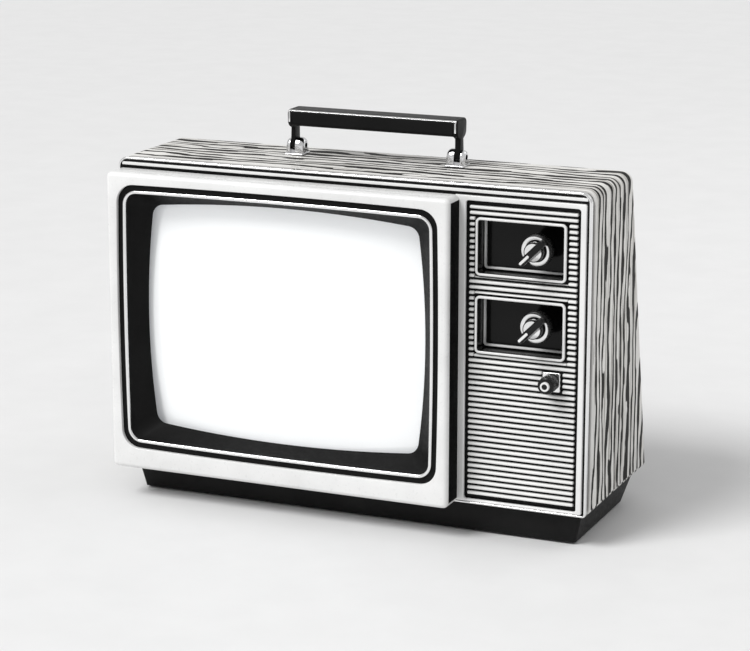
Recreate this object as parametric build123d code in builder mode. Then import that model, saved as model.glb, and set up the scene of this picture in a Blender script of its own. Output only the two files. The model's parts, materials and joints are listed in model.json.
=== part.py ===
from build123d import *
import os

# Portable television. Front faces -Y, +Z is up, +X is to the right of someone looking at the screen.
# "Depth" always means the distance behind the front face of the screen bezel.

os.makedirs("parts", exist_ok=True)

# ---------------------------------------------------------------- overall
WIDTH = 530.0
OVERALL_DEPTH = 322.0
HALF_DEPTH = OVERALL_DEPTH / 2
CABINET_LOW = 35.4
CABINET_TOP = 371.5
CABINET_MID_Z = (CABINET_LOW + CABINET_TOP) / 2

# ---------------------------------------------------------------- cabinet
WALL = 3.0
TOP_EDGE_RADIUS = 11.0
LOW_EDGE_RADIUS = 4.0
BEAD_FRONT = 28.5
BEAD_REAR = 33.5
BEAD_WIDTH = 2.2
BEAD_ROUND = 1.4
BROW_LOW, BROW_HIGH = 362.8, 366.0
BROW_FRONT = 29.5
GROOVE_INSET = 2.5
SHELL_FRONT = 42.0
REAR_TOP_DEPTH = 158.8
REAR_LOW_DEPTH = 230.0
SPIGOT_REAR = 52.0
SPIGOT_INSET = 3.2
FRAME_INNER_INSET = 7.0
PLATE_FRONT = 31.5
PLATE_REAR = 36.0
CORNER_BLOCK = 18.0
CORNER_INSET = 11.0
COVER_SCREW_R = 2.0

# ---------------------------------------------------------------- plinth and feet
PLINTH_LOW = 1.5
PLINTH_TOP_HALF = 257.0
PLINTH_LOW_HALF = 249.0
PLINTH_FLOOR = 4.5
FOOT_R = 10.0
FOOT_STEM_R = 3.5
FOOT_X = 215.0
FOOT_DEPTHS = (68.0, 178.0)

# ---------------------------------------------------------------- screen side
BEZEL_LEFT = -265.0
BEZEL_RIGHT = 125.0
BEZEL_HIGH = 359.7
POST_LOW, POST_HIGH = 46.0, 356.0
POST_R = 3.0
BEZEL_WALL = 3.5
BEZEL_FACE = 4.0
BEZEL_ROUND = 5.0
BEZEL_CORNER_R = 6.0
TUBE_X = -69.9
TUBE_Z = 203.0
STRIP_THICK = 2.5
STRIP_FRONT = 5.6
MASK_REAR = 26.0
GROOVE_W, GROOVE_H = 368.0, 291.8
RING_W, RING_H = 355.9, 279.4
MASK_W, MASK_H = 348.9, 272.3
SCREEN_W, SCREEN_H = 320.0, 255.0
FACE_W, FACE_H = 340.0, 272.0
FACE_APEX = 20.5
FACE_RADIUS = 1200.0
FACE_REAR = 75.0
NECK_R = 14.5
NECK_BORE_R = 12.5
NECK_REAR = 296.0
LUG_X, LUG_Z = 180.0, 144.0
LUG_PLATE_X, LUG_PLATE_Z, LUG_PLATE = 169.0, 136.0, 34.0
LUG_FRONT, LUG_REAR = 50.0, 52.0

# ---------------------------------------------------------------- control side
CONTROL_LEFT, CONTROL_RIGHT = 119.0, 260.0
CONTROL_LOW, CONTROL_HIGH = 38.0, 359.7
OPEN_LEFT, OPEN_RIGHT = 132.0, 254.1
OPEN_LOW, OPEN_HIGH = 40.7, 354.6
GRILLE_LEFT, GRILLE_RIGHT = 135.3, 250.7
GRILLE_FRONT, GRILLE_REAR = 30.0, 34.0
RIB_PITCH = 5.9
RIB_HEIGHT = 3.4
RIB_COUNT = 52
GRILLE_MID_Z = 197.7
WINDOW_MID_X = 191.3
WINDOW_W, WINDOW_H = 96.8, 60.0
WINDOW_CORNER_R = 5.0
WINDOW_LINE = 2.6
WINDOW_FRONT = 27.5
POCKET_FLOOR = 48.5
POCKET_REAR = 50.5
VHF_WINDOW_Z, UHF_WINDOW_Z = 308.2, 227.2
KNOB_X = 211.0
VHF_Z, UHF_Z = 311.0, 232.0
RING_R = 16.8
KNOB_R = 10.0
SHAFT_R = 3.0
SLEEVE_R = 5.0
RUN = 0.05
VOLUME_X, VOLUME_Z = 226.0, 175.0
SPEAKER_X, SPEAKER_Z = 193.0, 100.0
BRACKET_FRONT, BRACKET_REAR = 58.0, 59.5

# ---------------------------------------------------------------- handle
HANDLE_X = -3.5
HANDLE_DEPTH = 116.0
PIVOT_Z = 381.5
GRIP_HALF = 96.8
ARM_THICK = 5.5
ARM_GAP = 0.4
GRIP_LOW, GRIP_HIGH = 403.7, 421.5
GRIP_DEPTH = 28.0
PIN_R = 3.0
OUTER_LOBE = 4.9
INNER_LOBE = 9.4
BRACKET_FOOT_DEPTH = 21.0

# ---------------------------------------------------------------- rear cover
COVER_WALL = 2.5
COVER_FLAT = 250.0
COVER_W, COVER_H, COVER_MID_Z = 450.0, 275.0, 197.5
CUP_ROOT, CUP_END, CUP_FLANGE = 150.0, 110.0, 2.0
REAR_KNOB_Z = 90.0
REAR_KNOB_XS = {"brightness_knob": 90.0, "contrast_knob": 125.0}
INLET_X = 180.0


def at_depth(depth):
    """Plane facing the front, the given depth behind the bezel face."""
    return Plane.XZ.offset(HALF_DEPTH - depth)


def y_at(depth):
    """Y coordinate of a depth."""
    return depth - HALF_DEPTH


def cabinet_section(depth, inset):
    """Cabinet cross-section at a depth, pulled in by an inset; the top corners are the rounder ones."""
    with BuildSketch(at_depth(depth)) as section:
        with Locations((0, CABINET_MID_Z)):
            Rectangle(WIDTH - 2 * inset, CABINET_TOP - CABINET_LOW - 2 * inset)
        fillet(section.vertices().group_by(Axis.Y)[0], max(LOW_EDGE_RADIUS - inset / 2, 1.0))
        fillet(section.vertices().group_by(Axis.Y)[-1], max(TOP_EDGE_RADIUS - inset, 1.0))
    return section.sketch


def panel(depth, left, right, low, high, radius):
    """Rounded rectangle at a depth between two X and two Z limits."""
    with BuildSketch(at_depth(depth)) as face:
        with Locations(((left + right) / 2, (low + high) / 2)):
            RectangleRounded(right - left, high - low, radius)
    return face.sketch


def barrel(depth, width, height, bulge, radius):
    """Screen outline: four sides bowed outward by the bulge, round corners, centred on the tube axis."""
    half_w, half_h = width / 2 - radius, height / 2 - radius
    corner_x, corner_z = half_w - bulge, half_h - bulge
    with BuildSketch() as outline:
        with BuildLine():
            ThreePointArc((-corner_x, corner_z), (0, half_h), (corner_x, corner_z))
            ThreePointArc((corner_x, corner_z), (half_w, 0), (corner_x, -corner_z))
            ThreePointArc((corner_x, -corner_z), (0, -half_h), (-corner_x, -corner_z))
            ThreePointArc((-corner_x, -corner_z), (-half_w, 0), (-corner_x, corner_z))
        make_face()
        offset(amount=radius, kind=Kind.ARC)
    with BuildSketch(at_depth(depth)) as face:
        with Locations((TUBE_X, TUBE_Z)):
            add(outline.sketch)
    return face.sketch


def disc(depth, x, z, radius):
    """Circle at a depth."""
    with BuildSketch(at_depth(depth)) as face:
        with Locations((x, z)):
            Circle(radius)
    return face.sketch


def save(builder, name):
    """Label a finished piece and write its file."""
    builder.part.label = name
    export_step(builder.part, f"parts/{name}.step")


# The cabinet's rear edge lies in a plane that leans forward towards the top.
REAR_RUN = REAR_LOW_DEPTH - REAR_TOP_DEPTH
REAR_RISE = CABINET_TOP - CABINET_LOW
REAR_LENGTH = (REAR_RUN**2 + REAR_RISE**2) ** 0.5
REAR_PLANE = Plane(
    origin=(0, y_at((REAR_LOW_DEPTH + REAR_TOP_DEPTH) / 2), CABINET_MID_Z),
    x_dir=(-1, 0, 0),
    z_dir=(0, REAR_RISE, REAR_RUN),
)
COVER_PAD_R = 6.7
COVER_CORNERS = [
    (sx * (WIDTH / 2 - CORNER_INSET), sz * (REAR_LENGTH / 2 - CORNER_INSET))
    for sx in (-1, 1)
    for sz in (-1, 1)
]

# ================================================================ cabinet

# Wood-grain wrap: an open tube with a slanted rear edge and four blocks for the cover screws.
with BuildPart() as cabinet_shell:
    extrude(cabinet_section(REAR_LOW_DEPTH + 5, 0), amount=REAR_LOW_DEPTH + 5 - SHELL_FRONT)
    extrude(
        cabinet_section(REAR_LOW_DEPTH + 5, WALL),
        amount=REAR_LOW_DEPTH + 5 - SHELL_FRONT,
        mode=Mode.SUBTRACT,
    )
    split(bisect_by=REAR_PLANE, keep=Keep.BOTTOM)
    with BuildSketch(REAR_PLANE):
        with Locations(*COVER_CORNERS):
            Rectangle(CORNER_BLOCK, CORNER_BLOCK)
    extrude(amount=-20)
    extrude(
        cabinet_section(REAR_LOW_DEPTH + 5, 0), amount=REAR_LOW_DEPTH + 5 - SHELL_FRONT, mode=Mode.INTERSECT
    )
    with BuildSketch(REAR_PLANE):
        with Locations(*COVER_CORNERS):
            Circle(COVER_SCREW_R)
    extrude(amount=-16, mode=Mode.SUBTRACT)
    bracket_screw_points = [
        (HANDLE_X + side * (GRIP_HALF - ARM_THICK - ARM_GAP - INNER_LOBE / 2), y_at(HANDLE_DEPTH + dy))
        for side in (-1, 1)
        for dy in (-5.5, 5.5)
    ]
    with BuildSketch(Plane.XY.offset(CABINET_TOP)):
        with Locations(*bracket_screw_points):
            Circle(2.0)
    extrude(amount=-WALL, mode=Mode.SUBTRACT)
save(cabinet_shell, "cabinet_shell")

# Thin bar that crosses the front above the bezel, inside the bead.
with BuildPart() as brow_bar:
    extrude(
        panel(PLATE_FRONT, -WIDTH / 2, WIDTH / 2, BROW_LOW, BROW_HIGH, 0.6),
        amount=PLATE_FRONT - BROW_FRONT,
    )
    extrude(
        cabinet_section(PLATE_FRONT, BEAD_WIDTH / 2),
        amount=PLATE_FRONT - BROW_FRONT,
        mode=Mode.INTERSECT,
    )

# Bright bead round the front edge, in one piece with the bar.
with BuildPart() as front_bead:
    extrude(cabinet_section(BEAD_REAR, 0), amount=BEAD_REAR - BEAD_FRONT)
    fillet(front_bead.faces().sort_by(Axis.Y)[0].outer_wire().edges(), BEAD_ROUND)
    extrude(cabinet_section(BEAD_REAR, BEAD_WIDTH), amount=BEAD_REAR - BEAD_FRONT, mode=Mode.SUBTRACT)
    add(brow_bar.part)
save(front_bead, "front_bead")

# Black front frame: shows as the groove behind the bead and carries the bezel, tube and controls.
with BuildPart() as front_frame:
    extrude(cabinet_section(PLATE_REAR, BEAD_WIDTH), amount=PLATE_REAR - PLATE_FRONT)
    extrude(cabinet_section(SHELL_FRONT, GROOVE_INSET), amount=SHELL_FRONT - BEAD_REAR)
    extrude(cabinet_section(SPIGOT_REAR, SPIGOT_INSET), amount=SPIGOT_REAR - SHELL_FRONT)
    extrude(
        cabinet_section(SPIGOT_REAR, FRAME_INNER_INSET), amount=SPIGOT_REAR - PLATE_REAR, mode=Mode.SUBTRACT
    )
    extrude(barrel(PLATE_REAR, 348, 280, 6.5, 20), amount=PLATE_REAR - PLATE_FRONT, mode=Mode.SUBTRACT)
    extrude(
        panel(GRILLE_REAR, OPEN_LEFT, OPEN_RIGHT, OPEN_LOW, OPEN_HIGH, 3),
        amount=GRILLE_REAR - PLATE_FRONT,
        mode=Mode.SUBTRACT,
    )
    for window_z in (VHF_WINDOW_Z, UHF_WINDOW_Z):
        with BuildSketch(at_depth(PLATE_REAR)):
            with Locations((WINDOW_MID_X, window_z)):
                RectangleRounded(WINDOW_W - 2.2, WINDOW_H - 2.2, WINDOW_CORNER_R - 1.1)
        extrude(amount=PLATE_REAR - GRILLE_REAR, mode=Mode.SUBTRACT)
    with BuildSketch(at_depth(PLATE_REAR)):
        with Locations((VOLUME_X, VOLUME_Z)):
            Circle(6.2)
        with Locations((SPEAKER_X, SPEAKER_Z)):
            with GridLocations(0, RIB_PITCH, 1, 13):
                SlotOverall(80, 2.4)
    extrude(amount=PLATE_REAR - GRILLE_REAR, mode=Mode.SUBTRACT)
    # posts for the tube lugs
    with BuildSketch(at_depth(LUG_FRONT)):
        with Locations((TUBE_X, TUBE_Z)):
            with GridLocations(2 * LUG_X, 2 * LUG_Z, 2, 2):
                Circle(6)
                Circle(2, mode=Mode.SUBTRACT)
    extrude(amount=LUG_FRONT - PLATE_REAR + 1)
    # posts for the tuner bracket
    with BuildSketch(at_depth(BRACKET_FRONT)):
        with Locations(*[(x, z) for x in (136.0, 250.0) for z in (193.0, 346.0)]):
            Circle(4)
    extrude(amount=BRACKET_FRONT - PLATE_REAR + 1)
save(front_frame, "front_frame")

# Black tapered plinth, a pan under the cabinet.
with BuildPart() as base_plinth:
    with BuildSketch(Plane.YZ):
        with BuildLine():
            Polyline(
                (y_at(45), PLINTH_LOW),
                (y_at(198), PLINTH_LOW),
                (y_at(210), 11),
                (y_at(220), CABINET_LOW),
                (y_at(41), CABINET_LOW),
                close=True,
            )
        make_face()
    extrude(amount=PLINTH_TOP_HALF, both=True)
    with BuildSketch(Plane.XZ):
        with BuildLine():
            Polyline(
                (-PLINTH_LOW_HALF, PLINTH_LOW),
                (PLINTH_LOW_HALF, PLINTH_LOW),
                (PLINTH_TOP_HALF, CABINET_LOW),
                (-PLINTH_TOP_HALF, CABINET_LOW),
                close=True,
            )
        make_face()
    extrude(amount=OVERALL_DEPTH, both=True, mode=Mode.INTERSECT)
    fillet(base_plinth.edges().filter_by(GeomType.LINE).group_by(Axis.Z)[0], 2)
    with BuildSketch(Plane.XY.offset(PLINTH_FLOOR)):
        with Locations((0, y_at(122))):
            RectangleRounded(2 * PLINTH_LOW_HALF - 8, 146, 4)
    extrude(amount=CABINET_LOW - PLINTH_FLOOR, mode=Mode.SUBTRACT)
    foot_points = [(sx * FOOT_X, y_at(depth)) for sx in (-1, 1) for depth in FOOT_DEPTHS]
    with BuildSketch(Plane.XY):
        with Locations(*foot_points):
            Circle(FOOT_STEM_R)
    extrude(amount=PLINTH_FLOOR, mode=Mode.SUBTRACT)
save(base_plinth, "base_plinth")

# Four rubber feet, each with a stem through the plinth floor and a barbed head above it.
with BuildPart() as rubber_feet:
    with BuildSketch(Plane.XY):
        with Locations(*foot_points):
            Circle(FOOT_R)
    extrude(amount=PLINTH_LOW)
    with BuildSketch(Plane.XY.offset(PLINTH_LOW)):
        with Locations(*foot_points):
            Circle(FOOT_STEM_R)
    extrude(amount=PLINTH_FLOOR - PLINTH_LOW + 0.5)
    with BuildSketch(Plane.XY.offset(PLINTH_FLOOR)):
        with Locations(*foot_points):
            Circle(FOOT_STEM_R + 1.5)
    extrude(amount=4, taper=25)
save(rubber_feet, "rubber_feet")

# ================================================================ screen side

# Light bezel that stands forward of the control side.
with BuildPart() as screen_bezel:
    extrude(
        panel(BEAD_FRONT, BEZEL_LEFT, BEZEL_RIGHT, CABINET_LOW, BEZEL_HIGH, BEZEL_CORNER_R),
        amount=BEAD_FRONT,
    )
    fillet(screen_bezel.faces().sort_by(Axis.Y)[0].outer_wire().edges(), BEZEL_ROUND)
    extrude(
        panel(
            BEAD_FRONT,
            BEZEL_LEFT + BEZEL_WALL,
            BEZEL_RIGHT - STRIP_THICK - BEZEL_WALL,
            CABINET_LOW + BEZEL_WALL,
            BEZEL_HIGH - BEZEL_WALL,
            BEZEL_CORNER_R - BEZEL_WALL,
        ),
        amount=BEAD_FRONT - BEZEL_FACE,
        mode=Mode.SUBTRACT,
    )
    extrude(barrel(BEZEL_FACE, GROOVE_W, GROOVE_H, 1.5, 20), amount=BEZEL_FACE, mode=Mode.SUBTRACT)
    # seat of the black strip on the right-hand step
    with BuildSketch(Plane.YZ.offset(BEZEL_RIGHT - STRIP_THICK)):
        with Locations((y_at((STRIP_FRONT + BEAD_FRONT) / 2), (CABINET_LOW + BEZEL_HIGH) / 2)):
            Rectangle(BEAD_FRONT - STRIP_FRONT, BEZEL_HIGH - CABINET_LOW - 2 * BEZEL_ROUND)
    extrude(amount=STRIP_THICK, mode=Mode.SUBTRACT)
    # mounting posts
    with BuildSketch(at_depth(PLATE_FRONT)):
        with Locations(*[(x, z) for x in (-235.0, TUBE_X, 95.0) for z in (POST_LOW, POST_HIGH)]):
            Circle(POST_R)
    extrude(amount=PLATE_FRONT - BEZEL_FACE + 1)
save(screen_bezel, "screen_bezel")

# Black strip down the side of the step between the screen side and the control side.
with BuildPart() as step_strip:
    with BuildSketch(Plane.YZ.offset(BEZEL_RIGHT - STRIP_THICK)):
        with Locations((y_at((STRIP_FRONT + BEAD_FRONT) / 2), (CABINET_LOW + BEZEL_HIGH) / 2)):
            Rectangle(BEAD_FRONT - STRIP_FRONT, BEZEL_HIGH - CABINET_LOW - 2 * BEZEL_ROUND)
    extrude(amount=STRIP_THICK)
save(step_strip, "step_strip")

# Black mask: a flange behind the bezel face and a funnel down to the glass.
with BuildPart() as tube_mask:
    extrude(barrel(BEZEL_FACE + 4, GROOVE_W + 8, GROOVE_H + 5, 1.5, 20), amount=4)
    loft(
        [
            barrel(BEZEL_FACE + 4, RING_W, RING_H, 1.5, 16),
            barrel(MASK_REAR, SCREEN_W + 7, SCREEN_H + 7, 7, 16),
        ]
    )
    loft(
        [barrel(BEZEL_FACE, MASK_W, MASK_H, 1.5, 14), barrel(MASK_REAR, SCREEN_W, SCREEN_H, 7, 13)],
        mode=Mode.SUBTRACT,
    )
save(tube_mask, "tube_mask")

# Bright ring on the mask flange.
with BuildPart() as mask_ring:
    extrude(barrel(BEZEL_FACE, RING_W, RING_H, 1.5, 16), amount=2.5)
    extrude(barrel(BEZEL_FACE, MASK_W, MASK_H, 1.5, 14), amount=2.5, mode=Mode.SUBTRACT)
    fillet(mask_ring.faces().sort_by(Axis.Y)[0].edges(), 0.8)
save(mask_ring, "mask_ring")

# Picture tube: bowed faceplate, flat-sided cone, neck with an open bore for the gun.
CONE_SECTIONS = ((FACE_REAR, 330, 264, 40), (140.0, 200, 170, 60), (200.0, 64, 64, 30))


def cone_section(depth, width, height, radius):
    """One cross-section of the glass cone."""
    return panel(
        depth, TUBE_X - width / 2, TUBE_X + width / 2, TUBE_Z - height / 2, TUBE_Z + height / 2, radius
    )


with BuildPart() as picture_tube:
    extrude(barrel(FACE_REAR, FACE_W, FACE_H, 6.5, 24), amount=FACE_REAR - FACE_APEX + 5)
    with Locations((TUBE_X, y_at(FACE_APEX + FACE_RADIUS), TUBE_Z)):
        Sphere(FACE_RADIUS, mode=Mode.INTERSECT)
    loft([cone_section(*values) for values in CONE_SECTIONS], ruled=True)
    extrude(disc(NECK_REAR, TUBE_X, TUBE_Z, NECK_R), amount=NECK_REAR - 199)
    extrude(disc(NECK_REAR, TUBE_X, TUBE_Z, NECK_BORE_R), amount=NECK_REAR - 215, mode=Mode.SUBTRACT)
save(picture_tube, "picture_tube")

# Steel tension band round the faceplate with four mounting lugs.
with BuildPart() as tube_band:
    extrude(barrel(60, FACE_W + 5, FACE_H + 5, 6.5, 26), amount=14)
    with BuildSketch(at_depth(LUG_REAR)):
        with Locations((TUBE_X, TUBE_Z)):
            with GridLocations(2 * LUG_PLATE_X, 2 * LUG_PLATE_Z, 2, 2):
                RectangleRounded(LUG_PLATE, LUG_PLATE, 6)
    extrude(amount=LUG_REAR - LUG_FRONT)
    extrude(barrel(60, FACE_W, FACE_H, 6.5, 24), amount=16, mode=Mode.SUBTRACT)
    with BuildSketch(at_depth(LUG_REAR)):
        with Locations((TUBE_X, TUBE_Z)):
            with GridLocations(2 * LUG_X, 2 * LUG_Z, 2, 2):
                Circle(2.3)
    extrude(amount=LUG_REAR - LUG_FRONT, mode=Mode.SUBTRACT)
save(tube_band, "tube_band")

# Four screws that hold the lugs on the frame posts.
with BuildPart() as tube_screws:
    with BuildSketch(at_depth(LUG_REAR + 3)):
        with Locations((TUBE_X, TUBE_Z)):
            with GridLocations(2 * LUG_X, 2 * LUG_Z, 2, 2):
                RegularPolygon(4.6, 6)
    extrude(amount=3)
    with BuildSketch(at_depth(LUG_REAR)):
        with Locations((TUBE_X, TUBE_Z)):
            with GridLocations(2 * LUG_X, 2 * LUG_Z, 2, 2):
                Circle(2)
    extrude(amount=LUG_REAR - PLATE_REAR)
save(tube_screws, "tube_screws")

# Deflection coils with a front and a rear flange, and the ferrite core between them.
YOKE_FRONT, YOKE_REAR = 204.0, 244.0
with BuildPart() as yoke_coils:
    extrude(disc(YOKE_REAR, TUBE_X, TUBE_Z, 26), amount=YOKE_REAR - YOKE_FRONT)
    extrude(disc(YOKE_FRONT + 8, TUBE_X, TUBE_Z, 46), amount=8)
    extrude(disc(YOKE_REAR, TUBE_X, TUBE_Z, 36), amount=6)
    extrude(disc(YOKE_REAR, TUBE_X, TUBE_Z, NECK_R), amount=YOKE_REAR - YOKE_FRONT, mode=Mode.SUBTRACT)
save(yoke_coils, "yoke_coils")

with BuildPart() as yoke_core:
    extrude(disc(YOKE_REAR - 6, TUBE_X, TUBE_Z, 39), amount=YOKE_REAR - YOKE_FRONT - 14)
    extrude(disc(YOKE_REAR - 6, TUBE_X, TUBE_Z, 26), amount=YOKE_REAR - YOKE_FRONT - 14, mode=Mode.SUBTRACT)
save(yoke_core, "yoke_core")

# Electron gun: three cups on a stem inside the neck.
with BuildPart() as electron_gun:
    extrude(disc(288, TUBE_X, TUBE_Z, 5), amount=60)
    for cup_depth in (238.0, 254.0, 270.0, 284.0):
        extrude(disc(cup_depth, TUBE_X, TUBE_Z, 9), amount=9)
save(electron_gun, "electron_gun")

# Tube base that plugs the neck, with its ring of pins.
with BuildPart() as tube_base:
    extrude(disc(301, TUBE_X, TUBE_Z, NECK_R), amount=5)
    extrude(disc(NECK_REAR, TUBE_X, TUBE_Z, NECK_BORE_R), amount=8)
    with BuildSketch(at_depth(308)):
        with Locations((TUBE_X, TUBE_Z)):
            with PolarLocations(8, 7):
                Circle(0.7)
    extrude(amount=7.5)
save(tube_base, "tube_base")

# Neck board with the socket that takes the pins.
with BuildPart() as neck_board:
    with BuildSketch(at_depth(310.6)):
        with Locations((TUBE_X, TUBE_Z)):
            RectangleRounded(70, 70, 3)
    extrude(amount=1.6)
    extrude(disc(309.5, TUBE_X, TUBE_Z, 17), amount=8.5)
    with BuildSketch(at_depth(308.5)):
        with Locations((TUBE_X, TUBE_Z)):
            with PolarLocations(8, 7):
                Circle(0.8)
    extrude(amount=8, mode=Mode.SUBTRACT)
save(neck_board, "neck_board")

# Rubber anode cap on the upper flat of the cone.
CONE_STEP = CONE_SECTIONS[1][0] - CONE_SECTIONS[0][0]
CONE_DROP = (CONE_SECTIONS[0][2] - CONE_SECTIONS[1][2]) / 2
CAP_PLANE = Plane(
    origin=(
        TUBE_X,
        y_at(FACE_REAR + CONE_STEP / 2),
        TUBE_Z + (CONE_SECTIONS[0][2] + CONE_SECTIONS[1][2]) / 4,
    ),
    x_dir=(1, 0, 0),
    z_dir=(0, CONE_DROP, CONE_STEP),
)
with BuildPart() as anode_cap:
    with BuildSketch(CAP_PLANE):
        Circle(17)
    extrude(amount=3)
    with BuildSketch(CAP_PLANE.offset(3)):
        Circle(12)
    extrude(amount=6, taper=20)
save(anode_cap, "anode_cap")

# ================================================================ chassis

TRAY_LOW = CABINET_LOW + WALL
BOARD_LOW = 46.0
BOARD_TOP = 47.6
BOARD_DEPTHS = (75.0, 190.0)
BOARD_HALF = 235.0

# Sheet steel tray on the cabinet floor, with six spacers for the board.
with BuildPart() as chassis_tray:
    with BuildSketch(Plane.XY.offset(TRAY_LOW)):
        with Locations((0, y_at(130))):
            RectangleRounded(490, 130, 4)
    extrude(amount=1.6)
    with BuildSketch(Plane.XY.offset(TRAY_LOW)):
        with Locations((0, y_at(132.5))):
            with GridLocations(220, 95, 3, 2):
                Circle(4)
    extrude(amount=BOARD_LOW - TRAY_LOW)
save(chassis_tray, "chassis_tray")

# Main circuit board.
with BuildPart() as main_board:
    with BuildSketch(Plane.XY.offset(BOARD_LOW)):
        with Locations((0, y_at(sum(BOARD_DEPTHS) / 2))):
            RectangleRounded(2 * BOARD_HALF, BOARD_DEPTHS[1] - BOARD_DEPTHS[0], 3)
    extrude(amount=BOARD_TOP - BOARD_LOW)
save(main_board, "main_board")

# Flyback transformer: coil on a rectangular core.
with BuildPart() as flyback_transformer:
    with BuildSketch(Plane.XY.offset(BOARD_TOP)):
        with Locations((-205, y_at(150))):
            Rectangle(44, 16)
    extrude(amount=58)
    with BuildSketch(Plane.XY.offset(BOARD_TOP + 10)):
        with Locations((-205, y_at(150))):
            Circle(20)
    extrude(amount=36)
save(flyback_transformer, "flyback_transformer")

# Mains transformer: laminated core with a bobbin.
with BuildPart() as mains_transformer:
    with BuildSketch(Plane.XY.offset(BOARD_TOP)):
        with Locations((190, y_at(155))):
            Rectangle(66, 26)
    extrude(amount=56)
    with BuildSketch(Plane.XY.offset(BOARD_TOP + 10)):
        with Locations((190, y_at(155))):
            RectangleRounded(42, 50, 4)
    extrude(amount=36)
save(mains_transformer, "mains_transformer")

# ================================================================ control side

# Light surround of the control panel; its left edge runs under the bezel.
with BuildPart() as control_frame:
    extrude(
        panel(PLATE_FRONT, CONTROL_LEFT, CONTROL_RIGHT, CONTROL_LOW, CONTROL_HIGH, 2),
        amount=PLATE_FRONT - BEAD_FRONT,
    )
    extrude(
        panel(PLATE_FRONT, OPEN_LEFT, OPEN_RIGHT, OPEN_LOW, OPEN_HIGH, 3),
        amount=PLATE_FRONT - BEAD_FRONT,
        mode=Mode.SUBTRACT,
    )
    fillet(control_frame.faces().sort_by(Axis.Y)[0].inner_wires().edges(), 0.6)
save(control_frame, "control_frame")

# Ribbed panel and speaker grille: horizontal ribs on two rails,
# cut out for the windows and the volume plate.
with BuildPart() as grille_panel:
    with BuildSketch(at_depth(GRILLE_REAR)):
        with Locations(((GRILLE_LEFT + GRILLE_RIGHT) / 2, GRILLE_MID_Z)):
            with GridLocations(0, RIB_PITCH, 1, RIB_COUNT):
                Rectangle(GRILLE_RIGHT - GRILLE_LEFT, RIB_HEIGHT)
    extrude(amount=GRILLE_REAR - GRILLE_FRONT)
    with BuildSketch(at_depth(GRILLE_REAR)):
        with Locations(((GRILLE_LEFT + GRILLE_RIGHT) / 2, GRILLE_MID_Z)):
            with GridLocations(GRILLE_RIGHT - GRILLE_LEFT - 4, 0, 2, 1):
                Rectangle(4, RIB_COUNT * RIB_PITCH - 2)
    extrude(amount=1.5)
    with BuildSketch(at_depth(GRILLE_REAR)):
        with Locations((WINDOW_MID_X, VHF_WINDOW_Z), (WINDOW_MID_X, UHF_WINDOW_Z)):
            RectangleRounded(WINDOW_W + 0.4, WINDOW_H + 0.4, WINDOW_CORNER_R)
        with Locations((VOLUME_X, VOLUME_Z)):
            RectangleRounded(18.9, 20.4, 1.5)
    extrude(amount=GRILLE_REAR - GRILLE_FRONT, mode=Mode.SUBTRACT)
save(grille_panel, "grille_panel")

# Steel bracket that carries both tuners.
with BuildPart() as tuner_bracket:
    extrude(panel(BRACKET_REAR, 130, 256, 187, 352, 4), amount=BRACKET_REAR - BRACKET_FRONT)
    extrude(disc(BRACKET_REAR, KNOB_X, VHF_Z, 4), amount=BRACKET_REAR - BRACKET_FRONT, mode=Mode.SUBTRACT)
    extrude(disc(BRACKET_REAR, KNOB_X, UHF_Z, 4), amount=BRACKET_REAR - BRACKET_FRONT, mode=Mode.SUBTRACT)
save(tuner_bracket, "tuner_bracket")


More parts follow.
